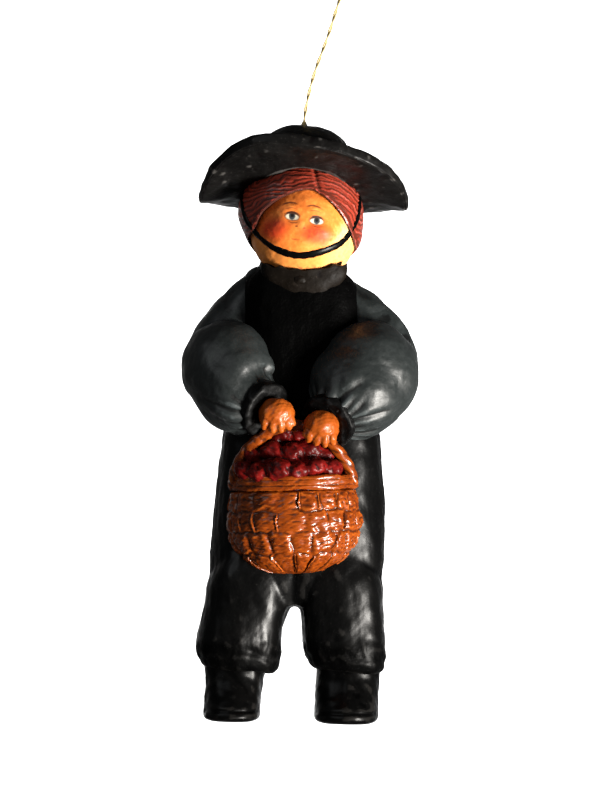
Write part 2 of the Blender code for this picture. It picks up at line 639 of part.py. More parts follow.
def below_hat(point):
    """The point, drawn in to stay within the crown where it lies above the brim."""
    x, y = point.x - CROWN_CENTRE.x, point.y - CROWN_CENTRE.y
    if point.z < Z_HAT + SEAT_LIFT - SEAT_TILT * y / CROWN_HALF_DEPTH:
        return point
    reach = math.hypot(x / CROWN_HALF_WIDTH, y / CROWN_HALF_DEPTH)
    share = min(1, CROWN_FILL / max(reach, CROWN_FILL))
    return Vector((CROWN_CENTRE.x + x * share, CROWN_CENTRE.y + y * share, point.z))


def add_head(skin, hair_paint, strap_paint):
    radii = (HEAD_HALF_WIDTH, HEAD_HALF_DEPTH, HEAD_HALF_HEIGHT)
    add_form("face", *ball_shape(HEAD_CENTRE, radii, rows=10, around=22), skin)
    points, faces = ball_shape(
        HAIR_CENTRE, (HAIR_HALF_WIDTH, HAIR_HALF_DEPTH, HAIR_HALF_HEIGHT), rows=15, around=AROUND_HAIR
    )
    carved = []
    for point in points:
        spoke = point - HAIR_CENTRE
        carved.append(below_hat(point + spoke.normalized() * hair_groove(spoke.x, spoke.z)))
    hair = add_form("hair", carved, faces, hair_paint)
    for side, sign in SIDES.items():
        radius = LOCK_RADIUS[side]
        lock = HAIR_CENTRE + Vector((sign * LOCK_SPREAD[side], HAIR_HALF_DEPTH * 0.04, -LOCK_DROP[side]))
        add_form(f"{side}_lock", *ball_shape(lock, (radius, radius * 1.2, radius * 1.7), rows=7, around=12), hair_paint)
    outline = smooth_route(FACE_OUTLINE, 3, closed=True)
    deep, near = -HAIR_HALF_DEPTH * 1.6, -HAIR_HALF_DEPTH * FACE_RECESS
    rings = [[HAIR_CENTRE + Vector((x, y, z)) for x, z in outline] for y in (deep, near)]
    poles = [sum(ring, Vector()) / len(ring) for ring in rings]
    opening = add_mesh("face_opening", *loft(rings, *poles), skin)
    opening.hide_render = True
    opening.display_type = "WIRE"
    cut = hair.modifiers.new("face_opening", "BOOLEAN")
    cut.operation = "DIFFERENCE"
    cut.solver = "EXACT"
    cut.object = opening
    hair.modifiers.new("flat_faces", "TRIANGULATE")
    nose = on_head(HEAD_CENTRE.x + NOSE_SHIFT, HEAD_CENTRE.z - NOSE_DROP)
    nose_radii = (NOSE_RADIUS, NOSE_RADIUS * 0.8, NOSE_RADIUS * 1.3)
    add_form("nose", *ball_shape(nose, nose_radii, rows=6, around=10), skin)
    route = [on_head(x, HAIR_CENTRE.z + z, STRAP_RADIUS * 0.1) for x, z in STRAP_ROUTE]
    radii = [STRAP_RADIUS * (0.75 + 0.35 * math.sin(math.pi * i / (len(route) - 1))) for i in range(len(route))]
    add_form("chin_strap", *limb_shape(route, radii, steps=1), strap_paint)
    return opening


def brim_edge(angle):
    """Middle of the brim's edge at an angle that is 0 at the front and grows towards the right side."""
    side = "right" if math.sin(angle) > 0 else "left"
    x = BRIM_REACH[side] * math.sin(angle)
    if math.cos(angle) > 0:
        y = -BRIM_FRONT * math.cos(angle)
        turned = math.remainder(angle, 2 * math.pi) - BRIM_PEAK
        quarter = math.pi / 2 - math.copysign(1, turned) * BRIM_PEAK
        rise = math.cos(math.pi / 2 * abs(turned) / quarter)
        z = BRIM_FRONT_LIFT * max(rise, 0) ** BRIM_SWEEP["right" if turned > 0 else "left"]
    else:
        y = -BRIM_BACK * math.cos(angle)
        z = BRIM_BACK_LIFT * math.cos(angle) ** 2
    return Vector((x, y, z))


def crown_seat(angle, size=1.0):
    """Where the brim meets the crown, which sits tilted back."""
    x = CROWN_HALF_WIDTH * size * math.sin(angle)
    y = -CROWN_HALF_DEPTH * size * math.cos(angle)
    return Vector((x, y, SEAT_LIFT + SEAT_TILT * math.cos(angle)))


def add_hat(material):
    """One skin: from the middle of the underside out to the edge, round it, and back over the brim and the crown."""
    half = BRIM_THICKNESS / 2
    under, over = [], []
    for share, thick in ((0.0, 1.3), (0.28, 1.1), (0.55, 1.0), (0.80, 1.0), (0.95, 0.85), (1.0, 0.35)):
        low, high = [], []
        for step in range(AROUND_HAT):
            angle = 2 * math.pi * step / AROUND_HAT
            seat, edge = crown_seat(angle), brim_edge(angle)
            flat = seat.lerp(edge, share)
            flat.z = blend(seat.z, edge.z, share**BRIM_CURL)
            lean = Vector((0, 0.35 * max(math.cos(angle), 0), 1)).normalized()
            low.append(CROWN_CENTRE + flat - lean * half * thick)
            high.append(CROWN_CENTRE + flat + lean * half * thick)
        under.append(low)
        over.append(high)
    inner = [CROWN_CENTRE + crown_seat(2 * math.pi * step / AROUND_HAT, 0.6) for step in range(AROUND_HAT)]
    crown = []
    for rise, size in ((0.25, 0.97), (0.45, 0.94), (0.65, 0.87), (0.82, 0.72), (0.93, 0.50), (0.985, 0.26)):
        ring = []
        for step in range(AROUND_HAT):
            seat = crown_seat(2 * math.pi * step / AROUND_HAT)
            top = blend(seat.z + half, CROWN_RISE, rise)
            ring.append(CROWN_CENTRE + Vector((seat.x * size, seat.y * size, top)))
        crown.append(ring)
    rings = [inner] + under + over[::-1] + crown
    base = CROWN_CENTRE + Vector((0, 0, SEAT_LIFT))
    add_form("hat", *loft(rings, base, CROWN_TOP), material)


def knot_centre():
    return CROWN_TOP + Vector((0, 0, KNOT_RADIUS + CLEARANCE - HOLE_DEPTH))


def thread_route():
    """The middle of the twisted thread, from just above its knot to the foot of its eye."""
    start = knot_centre() + Vector((0, 0, KNOT_RADIUS * 1.3 + CLEARANCE))
    lift = start.z - CROWN_TOP.z - THREAD_ROUTE[0][2]
    route = [start] + [CROWN_TOP + Vector(point) + Vector((0, 0, lift)) for point in THREAD_ROUTE[1:]]
    dense = smooth_route([tuple(point) for point in route], 12)
    last = len(dense) - 1
    return [Vector(dense[round(index * last / (THREAD_POINTS - 1))]) for index in range(THREAD_POINTS)]


def eye_frame():
    """The foot of the eye and the direction in which the thread reaches it."""
    route = thread_route()
    along = (route[-1] - route[-2]).normalized()
    return route[-1] + along * (CLEARANCE + STRAND_DIAMETER / 2), along


def eye_points(count=20):
    """A drop-shaped loop, narrow at its foot."""
    foot, along = eye_frame()
    across = Vector((0, -1, 0)).cross(along).normalized()
    points = []
    for step in range(count):
        angle = 2 * math.pi * step / count
        share = 0.5 - 0.5 * math.cos(angle)
        width = EYE_WIDTH / 2 * math.sin(angle) * (0.35 + 0.75 * share)
        points.append(foot + along * EYE_LENGTH * share + across * width)
    return points


def hanging_point():
    """The inside top of the eye, where the hook that holds the ornament touches it."""
    foot, along = eye_frame()
    return foot + along * (EYE_LENGTH - STRAND_DIAMETER / 2)


def add_thread_curve(name, points, radius, material, cyclic):
    curve = bpy.data.curves.new(name, "CURVE")
    curve.dimensions = "3D"
    curve.bevel_depth = radius
    curve.bevel_resolution = 2
    curve.use_fill_caps = not cyclic
    spline = curve.splines.new("POLY")
    spline.points.add(len(points) - 1)
    for slot, point in zip(spline.points, points):
        slot.co = (*point, 1)
    spline.use_cyclic_u = cyclic
    curve.materials.append(material)
    obj = bpy.data.objects.new(name, curve)
    bpy.context.scene.collection.objects.link(obj)
    return obj


def drill_for(figure, material):
    """The blind hole in the crown that takes the knot."""
    radius = KNOT_RADIUS + CLEARANCE
    rings = []
    for z in (-HOLE_DEPTH, CLEARANCE * 3):
        ring = []
        for step in range(16):
            angle = 2 * math.pi * step / 16
            ring.append(CROWN_TOP + Vector((radius * math.cos(angle), radius * math.sin(angle), z)))
        rings.append(ring)
    poles = [sum(ring, Vector()) / len(ring) for ring in rings]
    drill = add_mesh("drill", *loft(rings, *poles), material)
    drill.hide_render = True
    drill.display_type = "WIRE"
    cut = figure.modifiers.new("knot_hole", "BOOLEAN")
    cut.operation = "DIFFERENCE"
    cut.solver = "EXACT"
    cut.object = drill
    return drill


def main():
    clear_scene()
    forms = bpy.data.collections.new(FORMS)
    bpy.context.scene.collection.children.link(forms)

    black = paint("black_paint", (0.020, 0.020, 0.022), 0.42)
    hat_black = paint("hat_paint", (0.035, 0.034, 0.037), 0.48)
    slate = paint("slate_paint", (0.065, 0.080, 0.090), 0.42)
    collar_grey = paint("collar_paint", (0.050, 0.042, 0.040), 0.50)
    skin = paint("skin_paint", (0.72, 0.36, 0.13), 0.42)
    hair_red = paint("hair_paint", (0.26, 0.065, 0.045), 0.45)
    amber = paint("basket_paint", (0.55, 0.21, 0.04), 0.28)
    apple_red = paint("apple_paint", (0.22, 0.018, 0.015), 0.25)
    gold = paint("gold_thread", (0.75, 0.62, 0.34), 0.35, 0.6)

    figure = slab_column("figure", torso_rows(), black)
    forms.objects.unlink(figure)
    bpy.context.scene.collection.objects.link(figure)
    figure.hide_render = False
    figure.display_type = "TEXTURED"

    add_boots(black)
    add_breeches(black)
    add_collar(collar_grey)
    add_upper_sleeves(slate)
    add_lower_sleeves(slate)
    add_cuffs_and_hands(black, skin)
    add_basket(amber)
    add_handle(amber)
    add_apples(apple_red)
    opening = add_head(skin, hair_red, black)
    add_hat(hat_black)

    for form in forms.objects:
        join = figure.modifiers.new(form.name, "BOOLEAN")
        join.operation = "UNION"
        join.solver = "EXACT"
        join.material_mode = "TRANSFER"
        join.object = form
    drill = drill_for(figure, hat_black)

    radii = (KNOT_RADIUS, KNOT_RADIUS, KNOT_RADIUS * 1.3)
    knot_shape = ball_shape(knot_centre(), radii, rows=10, around=14)
    knot = add_mesh("thread_knot", *knot_shape, gold, smooth_angle=80)
    thread = add_thread_curve("hanging_thread", thread_route(), STRAND_DIAMETER, gold, False)
    eye = add_thread_curve("thread_eye", eye_points(), STRAND_DIAMETER / 2, gold, True)

    carrier = bpy.data.objects.new("hanging_point", None)
    bpy.context.scene.collection.objects.link(carrier)
    carrier.location = -hanging_point()
    for obj in (figure, knot, thread, eye, opening, drill, *forms.objects):
        obj.parent = carrier


main()
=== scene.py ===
"""The carved and painted pilgrim ornament, hung by its thread, with a pale floor, soft light and a camera.

Shapes are worked out in millimetres from the figure's soles, with +X to the right of someone who looks at its face
and -Y towards them, and are moved to the frame's metres when a mesh is made.
"""

import math

import bpy
import numpy as np
from bpy.props import FloatProperty, FloatVectorProperty, IntProperty, PointerProperty
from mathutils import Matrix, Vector


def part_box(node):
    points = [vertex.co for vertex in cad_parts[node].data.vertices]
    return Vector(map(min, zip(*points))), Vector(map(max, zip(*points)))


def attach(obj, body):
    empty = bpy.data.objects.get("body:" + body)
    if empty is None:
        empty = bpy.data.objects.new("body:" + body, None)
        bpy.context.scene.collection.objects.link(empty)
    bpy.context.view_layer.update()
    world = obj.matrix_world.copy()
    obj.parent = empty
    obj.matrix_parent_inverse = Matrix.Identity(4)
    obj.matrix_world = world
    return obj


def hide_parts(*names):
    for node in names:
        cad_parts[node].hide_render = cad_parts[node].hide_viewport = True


bl_info = {
    "name": "Carved pilgrim ornament",
    "version": (1, 0, 0),
    "blender": (4, 5, 0),
    "location": "View3D > Sidebar > Ornament",
    "description": "Builds a carved and painted wooden pilgrim that hangs by a twisted thread",
    "category": "Add Mesh",
}

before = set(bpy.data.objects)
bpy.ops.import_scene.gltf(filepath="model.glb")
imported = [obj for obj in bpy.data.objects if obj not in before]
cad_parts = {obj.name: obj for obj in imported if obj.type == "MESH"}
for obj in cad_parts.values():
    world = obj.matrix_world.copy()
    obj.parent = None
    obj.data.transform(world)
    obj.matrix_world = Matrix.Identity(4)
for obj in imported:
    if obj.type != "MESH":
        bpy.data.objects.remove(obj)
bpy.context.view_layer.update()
FIGURE_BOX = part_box("figure")
KNOT_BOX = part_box("thread_knot")
KNOT = (Vector(KNOT_BOX[0]) + Vector(KNOT_BOX[1])) / 2
MM = 0.001

# Millimetres from the soles: the crown's top, and from it the place of the soles in the frame
CROWN_TOP = np.array((0.3, 0.6, 114.5))
ORIGIN = np.array((KNOT.x / MM - CROWN_TOP[0], KNOT.y / MM - CROWN_TOP[1], FIGURE_BOX[0][2] / MM))
SIDES = {"left": -1, "right": 1}

# How far the corners of the slabs are planed off and rounded, and the angle over which an edge shows as sharp
FACET, ROUNDNESS = 0.93, 4.0
SHARP_ANGLE = math.radians(60)

# From the soles' middle to the middle of the view, in metres
VIEW_MIDDLE = Vector((0.00062, -0.003, 0.06175))


# Numbers over arrays

def mix(a, b, share):
    return a + (b - a) * share


def ease(value, low, high):
    """0 below low, 1 above high, and smooth in between."""
    t = np.clip((value - low) / (high - low), 0, 1)
    return t * t * (3 - 2 * t)


def bell(value, middle, width):
    return np.exp(-(((value - middle) / width) ** 2))


def circle(count):
    """This many angles, even round a full turn."""
    return 2 * np.pi * np.arange(count) / count


def unit(rows):
    """The rows' directions, each one long."""
    return rows / np.linalg.norm(rows, axis=1)[:, None]


def travelled(route):
    """How long the route is up to each of its points."""
    return np.concatenate([[0], np.cumsum(np.linalg.norm(np.diff(route, axis=0), axis=1))])


def waves(points, size, seed, count=14):
    """Smooth irregular swells of about this size, from -1 to 1."""
    rng = np.random.default_rng(seed)
    directions = unit(rng.normal(size=(count, 3)))
    pitches = 2 * np.pi / (size * rng.uniform(0.7, 1.5, count))
    phases = rng.uniform(0, 2 * np.pi, count)
    total = np.zeros(len(points))
    for direction, pitch, phase in zip(directions, pitches, phases):
        total += np.sin(points @ direction * pitch + phase)
    return total / math.sqrt(count) * 0.9


def swells(points, *layers):
    """Waves of several sizes in one, each given by its size, its seed and its height."""
    return sum(waves(points, size, seed) * tall for size, seed, tall in layers)


def spline(knots, steps):
    """Rows on a smooth curve through the knots, with this many steps from each one to the next."""
    knots = np.asarray(knots, float)
    rows = []
    for index in range(len(knots) - 1):
        a, b, c, d = (knots[min(max(index + shift, 0), len(knots) - 1)] for shift in (-1, 0, 1, 2))
        t = (np.arange(steps) / steps)[:, None]
        rows.append(0.5 * (2 * b + (c - a) * t + (2 * a - 5 * b + 4 * c - d) * t**2 + (3 * b - a - 3 * c + d) * t**3))
    return np.vstack(rows + [knots[-1:]])


def skin(rings):
    """Points and faces of a closed skin over rings of equally many points, with a pole at each end."""
    rings = np.asarray(rings, float)
    rows, around = rings.shape[:2]
    poles = rings[[0, -1]].mean(axis=1)
    points = np.vstack([poles[:1], rings.reshape(-1, 3), poles[1:]])
    step = np.arange(around)
    after = (step + 1) % around
    faces = [(0, int(1 + b), int(1 + a)) for a, b in zip(step, after)]
    for row in range(rows - 1):
        low, high = 1 + row * around, 1 + (row + 1) * around
        faces += np.column_stack([low + step, low + after, high + after, high + step]).tolist()
    top, last = 1 + (rows - 1) * around, len(points) - 1
    faces += [(int(top + a), int(top + b), last) for a, b in zip(step, after)]
    return points, faces


def ball(centre, radii, rows=24, around=48):
    centre, tilt, turn = np.asarray(centre), (np.pi * np.arange(1, rows) / rows)[:, None], circle(around)
    spokes = np.stack(
        [np.sin(tilt) * np.cos(turn), np.sin(tilt) * np.sin(turn), np.repeat(-np.cos(tilt), around, axis=1)], axis=-1
    )
    points, faces = skin(centre + spokes * np.asarray(radii))
    points[0], points[-1] = centre - (0, 0, radii[2]), centre + (0, 0, radii[2])
    return points, faces


def frames_along(route):
    """For each point of the route, two cross directions that turn as little as can be, and the direction of travel."""
    ahead = unit(np.gradient(np.asarray(route, float), axis=0))
    across = np.cross(ahead[0], (0.0, 1.0, 0.0) if abs(ahead[0][1]) < 0.9 else (1.0, 0.0, 0.0))
    found = []
    for direction in ahead:
        across = across - direction * (across @ direction)
        across = across / np.linalg.norm(across)
        found.append((across, np.cross(direction, across), direction))
    return found


def level_frame(ahead):
    """A level direction across the one given, and the direction square to both."""
    across = np.cross((0, 0, 1), ahead)
    across /= np.linalg.norm(across)
    return across, np.cross(ahead, across)


def spokes_at(turn, across, up):
    """Directions at these angles between two cross directions."""
    return np.outer(np.cos(turn), across) + np.outer(np.sin(turn), up)


def limb(route, radii, steps=8, around=48, caps=6, shape=None, blunt=1.0):
    """Points and faces of a round limb along a smooth route with rounded ends.

    shape gives the height of the surface above the round limb, from the angle around it and the share of the way
    along. blunt is the far end's length as a share of a round end's.
    """
    rows = spline(np.column_stack([route, radii]), steps)
    centres, sizes = rows[:, :3], rows[:, 3]
    frames = frames_along(centres)

    def cap(end, number, way):
        tilt = math.pi / 2 * number / (caps + 0.6)
        place = centres[end] + frames[end][2] * sizes[end] * math.sin(tilt) * way
        return place, sizes[end] * math.cos(tilt), frames[end]

    stations = [cap(0, number, -1) for number in range(caps, 0, -1)]
    stations += zip(centres, sizes, frames)
    stations += [cap(-1, number, blunt) for number in range(1, caps + 1)]
    turn = circle(around)
    rings = []
    for row, (centre, size, (across, up, _)) in enumerate(stations):
        spokes = spokes_at(turn, across, up)
        ring = centre + spokes * size
        if shape is not None:
            ring = ring + spokes * shape(turn, row / (len(stations) - 1))[:, None]
        rings.append(ring)
    return skin(rings)


def slab_ring(middle_x, middle_y, z, half_width, front, back, around):
    """A level ring, a rounded rectangle with its corners planed off."""
    x, y = np.cos(circle(around)), np.sin(circle(around))
    depth = np.where(y > 0, back, front)
    corner = FACET * (half_width + depth)
    walls = (np.abs(x / half_width), np.abs(y / depth), (np.abs(x) + np.abs(y)) / corner)
    reach = sum(wall**ROUNDNESS for wall in walls) ** (-1 / ROUNDNESS)
    wide = (1 + (half_width / corner) ** ROUNDNESS) ** (1 / ROUNDNESS)
    deep = (1 + (depth / corner) ** ROUNDNESS) ** (1 / ROUNDNESS)
    return np.column_stack([middle_x + reach * x * wide, middle_y + reach * y * deep, np.full(around, z)])


def slab_column(rows, steps, around):
    """A column of level rings. Each row gives X, Y and Z of the middle, the half width and the reaches in Y."""
    return skin([slab_ring(*row, around) for row in spline(rows, steps)])


def joined(shapes):
    """The points and faces of several shapes together."""
    points, faces, start = [], [], 0
    for shape_points, shape_faces in shapes:
        points.append(np.asarray(shape_points))
        faces += [tuple(index + start for index in face) for face in shape_faces]
        start += len(shape_points)
    return np.vstack(points), faces


def read(items, label, width, kind=float):
    """A row of numbers for each of the mesh's items."""
    flat = np.empty(len(items) * width, kind)
    items.foreach_get(label, flat)
    return flat.reshape(-1, width)


def edges_of(mesh):
    return read(mesh.edges, "vertices", 2, np.int64)


def points_of(mesh):
    return read(mesh.vertices, "co", 3)


def normals_of(mesh):
    return read(mesh.vertex_normals, "vector", 3, np.float32).astype(float)


def set_points(mesh, points):
    mesh.vertices.foreach_set("co", points.ravel())
    mesh.update()


def store(mesh, label, values):
    """Keeps a number for each point in the mesh, for its paint."""
    attribute = mesh.attributes.new(label, "FLOAT", "POINT")
    attribute.data.foreach_set("value", values.astype(np.float32))


def add_object(name, data):
    """A new object in the scene, of a mesh, a light or a camera."""
    obj = bpy.data.objects.new(name, data)
    bpy.context.scene.collection.objects.link(obj)
    return obj


def plain_mesh(obj):
    """The object's mesh with its modifiers applied."""
    graph = bpy.context.evaluated_depsgraph_get()
    return bpy.data.meshes.new_from_object(obj.evaluated_get(graph))


def averaged(values, pairs, rounds=1):
    """Each vertex's mean over its neighbours, this many times over."""
    count, (first, second) = len(values), pairs.T
    links = np.bincount(pairs.ravel(), minlength=count).clip(1)
    for _ in range(rounds):
        columns = values.reshape(count, -1).T
        total = [np.bincount(first, c[second], count) + np.bincount(second, c[first], count) for c in columns]
        values = (np.stack(total, axis=1) / links[:, None]).reshape(values.shape)
    return values


def fused(name, shapes, voxel, rounds):
    """Closed shapes that cross each other, made one skin by a voxel remesh and smoothed this many times."""
    obj = add_object(name, mesh_from(name, joined(shapes)))
    remesh = obj.modifiers.new("fuse", "REMESH")
    remesh.mode = "VOXEL"
    remesh.voxel_size = voxel
    made = plain_mesh(obj)
    bpy.data.objects.remove(obj)
    points, pairs = points_of(made), edges_of(made)
    for _ in range(rounds):
        for share in (0.6, -0.25):
            points = mix(points, averaged(points, pairs), share)
    set_points(made, points)
    return made


def carve(mesh, height):
    """Moves each point along its normal by height(points), in millimetres."""
    points = points_of(mesh)
    set_points(mesh, points + normals_of(mesh) * height(points)[:, None])
    return mesh


def mesh_from(name, shape):
    mesh = bpy.data.meshes.new(name)
    mesh.from_pydata(np.asarray(shape[0]).tolist(), [], shape[1])
    mesh.update()
    return mesh


def mark_relief(mesh, rounds):
    """Writes the attribute "relief": over 0 on ridges and edges, under 0 in hollows, near 0 on even ground."""
    points, normals, pairs = points_of(mesh), normals_of(mesh), edges_of(mesh)
    settled = averaged(points, pairs, rounds)
    relief = averaged(((points - settled) * normals).sum(axis=1), pairs)
    store(mesh, "relief", np.clip((relief - averaged(relief, pairs, 4 * rounds)) * 20, -1, 1))


def add_piece(name, shape, material, node="figure", relief=6):
    """A finished piece in the frame, from a mesh in millimetres or from points and faces."""
    mesh = shape if isinstance(shape, bpy.types.Mesh) else mesh_from(name, shape)
    mesh.name = name
    points = points_of(mesh)
    corners = np.array([points[list(polygon.vertices)[:3]] for polygon in mesh.polygons])
    if np.einsum("ij,ij->i", corners[:, 0], np.cross(corners[:, 1], corners[:, 2])).sum() < 0:
        mesh.flip_normals()
        mesh.update()
    if relief:
        mark_relief(mesh, relief)
    set_points(mesh, (points + ORIGIN) * MM)
    mesh.materials.clear()
    mesh.materials.append(material)
    mesh.shade_smooth()
    mesh.set_sharp_from_angle(angle=SHARP_ANGLE)
    obj = add_object(name, mesh)
    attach(obj, "root")
    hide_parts(node)
    return obj


# Paints

def add_node(tree, kind, settings=None, inputs=()):
    """Adds a node, links its inputs to the sockets or sets them to the values given, and returns its outputs."""
    made = tree.nodes.new(kind)
    for key, value in (settings or {}).items():
        setattr(made, key, value)
    for key, value in inputs.items() if isinstance(inputs, dict) else enumerate(inputs):
        if isinstance(value, bpy.types.NodeSocket):
            tree.links.new(value, made.inputs[key])
        else:
            made.inputs[key].default_value = value
    return made.outputs


def tinted(colour, *gains):
    """The colour with its channels made stronger or weaker, by one gain or by one for each."""
    return tuple(min(1, c * gain) for c, gain in zip(colour, gains * 3))


class Wire:
    """A node's output, with the operators that the paints' sums use."""

    def __init__(self, paint, socket):
        self.paint, self.socket = paint, socket

    def math(self, operation, *others):
        return self.paint.node("ShaderNodeMath", {"operation": operation}, (self, *others))

    def __add__(self, other):
        return self.math("ADD", other)

    __radd__ = __add__

    def __mul__(self, other):
        return self.math("MULTIPLY", other)

    __rmul__ = __mul__

    def __sub__(self, other):
        return self.math("SUBTRACT", other)

    def __rsub__(self, other):
        return self.paint.node("ShaderNodeMath", {"operation": "SUBTRACT"}, (other, self))

    def __truediv__(self, other):
        return self.math("DIVIDE", other)

    def __pow__(self, other):
        return self.math("POWER", other)

    def __abs__(self):
        return self.math("ABSOLUTE")


class Paint:
    """A material whose shader is built up in expressions on millimetres from the figure's soles."""

    def __init__(self, name, roughness=0.4, coat=0.0, metallic=0.0, shine=0.5, satin=0.22):
        self.material = bpy.data.materials.new(name)
        self.material.use_nodes = True
        self.tree = self.material.node_tree
        self.shader = self.tree.nodes["Principled BSDF"]
        values = {
            "Roughness": roughness, "Coat Weight": coat, "Coat Roughness": satin, "Specular IOR Level": shine,
            "Metallic": metallic,
        }
        for key, value in values.items():
            self.shader.inputs[key].default_value = value
        coordinates = self.node("ShaderNodeTexCoord", output=3)
        moved = self.node("ShaderNodeVectorMath", {"operation": "SUBTRACT"}, (coordinates, tuple(ORIGIN * MM)))
        self.place = self.node("ShaderNodeVectorMath", {"operation": "SCALE"}, {0: moved, "Scale": 1 / MM})
        self.x = self.node("ShaderNodeSeparateXYZ", None, (self.place,))
        self.y = Wire(self, self.x.socket.node.outputs[1])
        self.z = Wire(self, self.x.socket.node.outputs[2])
        self.relief = self.stored("relief")

    def node(self, kind, settings=None, inputs=(), output=0):
        pairs = inputs.items() if isinstance(inputs, dict) else enumerate(inputs)
        plain = {key: value.socket if isinstance(value, Wire) else value for key, value in pairs}
        return Wire(self, add_node(self.tree, kind, settings, plain)[output])

    def stored(self, label):
        """A number that the mesh keeps for each point."""
        return self.node("ShaderNodeAttribute", {"attribute_name": label}, output=2)

    def noise(self, size, detail, stretch=(1, 1, 1)):
        """Soft chance marks of this size, from 0 to 1."""
        place = self.place
        if stretch != (1, 1, 1):
            place = self.node("ShaderNodeVectorMath", {"operation": "MULTIPLY"}, (place, stretch))
        values = {"Vector": place, "Scale": 1 / size, "Detail": detail, "Roughness": 0.55, "Distortion": 0.0}
        return self.node("ShaderNodeTexNoise", None, values)

    def between(self, value, low, high):
        """0 where the value is at low, 1 where it is at high, smooth in between. Low may be the greater."""
        settings = {"interpolation_type": "SMOOTHSTEP"}
        if low <= high:
            return self.node("ShaderNodeMapRange", settings, {"Value": value, "From Min": low, "From Max": high})
        values = {"Value": value, "From Min": high, "From Max": low, "To Min": 1.0, "To Max": 0.0}
        return self.node("ShaderNodeMapRange", settings, values)

    def colour(self, share, first, second):
        """The first colour where share is 0 and the second where it is 1."""
        first, second = ((*c, 1.0) if isinstance(c, tuple) else c for c in (first, second))
        return self.node(
            "ShaderNodeMix", {"data_type": "RGBA", "clamp_factor": True}, {0: share, 6: first, 7: second}, output=2
        )

    def spot(self, x, z, middle, radii, soft=0.25, tilt=0.0):
        """1 inside an ellipse on the front of the figure, with a soft edge."""
        right, up = x - middle[0], z - middle[1]
        along = right * math.cos(tilt) + up * math.sin(tilt)
        across = up * math.cos(tilt) - right * math.sin(tilt)
        reach = ((along / radii[0]) ** 2 + (across / radii[1]) ** 2) ** 0.5
        return self.between(reach, 1 + soft, 1 - soft)

    def stroke(self, x, z, middle, half_length, rise, width, slope=0.0):
        """1 on a short brush stroke, bowed up by rise in its middle and tapered to its ends."""
        right = (x - middle[0]) / half_length
        bow = middle[1] + rise * (1 - right**2) + slope * right
        taper = self.between(abs(right), 1.0, 0.4)
        return self.between(abs(z - bow), width * 1.3, width * 0.5) * taper

    def finish(self, colour, roughness, coat, bump, depth):
        """Wires up the colour, and where they vary the roughness, the coat and the small relief in millimetres."""
        wires = {"Base Color": colour, "Roughness": roughness, "Coat Weight": coat}
        wires["Normal"] = self.node("ShaderNodeBump", None, {"Strength": 1.0, "Distance": depth * MM, "Height": bump})
        for key, wire in wires.items():
            if wire is not None:
                self.tree.links.new(wire.socket, self.shader.inputs[key])
        return self.material


def aged_paint(
    name, colour, dark, worn, roughness, grain=(1, 1, 1), mottle=0.5, specks=0.5, wear=0.5, depth=0.12, coat=0.15,
    shine=0.2, satin=0.22, matte_and_shade_above=None
):
    """Satin paint on carved wood: mottled, dark in the hollows, worn lighter on the edges and flecked with dust.

    With matte_and_shade_above the paint is rougher and loses its coat from that height up across the middle, and round
    the gathers above the boots; there it is also darkened towards the dark colour as painted shade, on the vest between
    the arms and in the gathers.
    """
    paint = Paint(name, coat=coat, shine=shine, satin=satin)
    broad = paint.noise(7.0, 3)
    fine = paint.noise(0.9, 4, grain)
    flecks = paint.noise(0.28, 2)
    shade = paint.colour(paint.between(broad * 0.55 + fine * 0.45, 0.38, 0.64) * mottle, colour, worn)
    shade = paint.colour(paint.between(paint.relief + (fine - 0.5) * 0.4, -0.30, -0.90), shade, dark)
    edge = paint.between(paint.relief + (fine - 0.5) * 0.6, 0.50, 1.00) * wear
    shade = paint.colour(edge, shade, worn)
    shade = paint.colour(paint.between(flecks * 0.75 + fine * 0.25, 0.63, 0.72) * specks, shade, worn)
    gloss = roughness + (fine - 0.5) * 0.22 + (broad - 0.5) * 0.25
    marks = paint.noise(0.45, 3, grain) * 0.6 + paint.noise(1.8, 2, grain) * 1.4
    if matte_and_shade_above is None:
        return paint.finish(shade, gloss, None, marks, depth)
    matte_and_shade = paint.between(paint.z + (broad - 0.5) * 8, matte_and_shade_above - 3, matte_and_shade_above + 3)
    matte_and_shade = matte_and_shade * paint.between(abs(paint.x - 0.5), 12.5, 10.5)
    matte_and_shade = matte_and_shade + paint.between(abs(paint.z - 11.5), 4.5, 2.5) * 0.8
    # Painted shade: the vest and the gathers above the boots are darkened towards the dark colour
    shade = paint.colour(matte_and_shade * 0.85, shade, dark)
    return paint.finish(shade, gloss + matte_and_shade * 0.2, (1 - matte_and_shade) * coat, marks, depth)


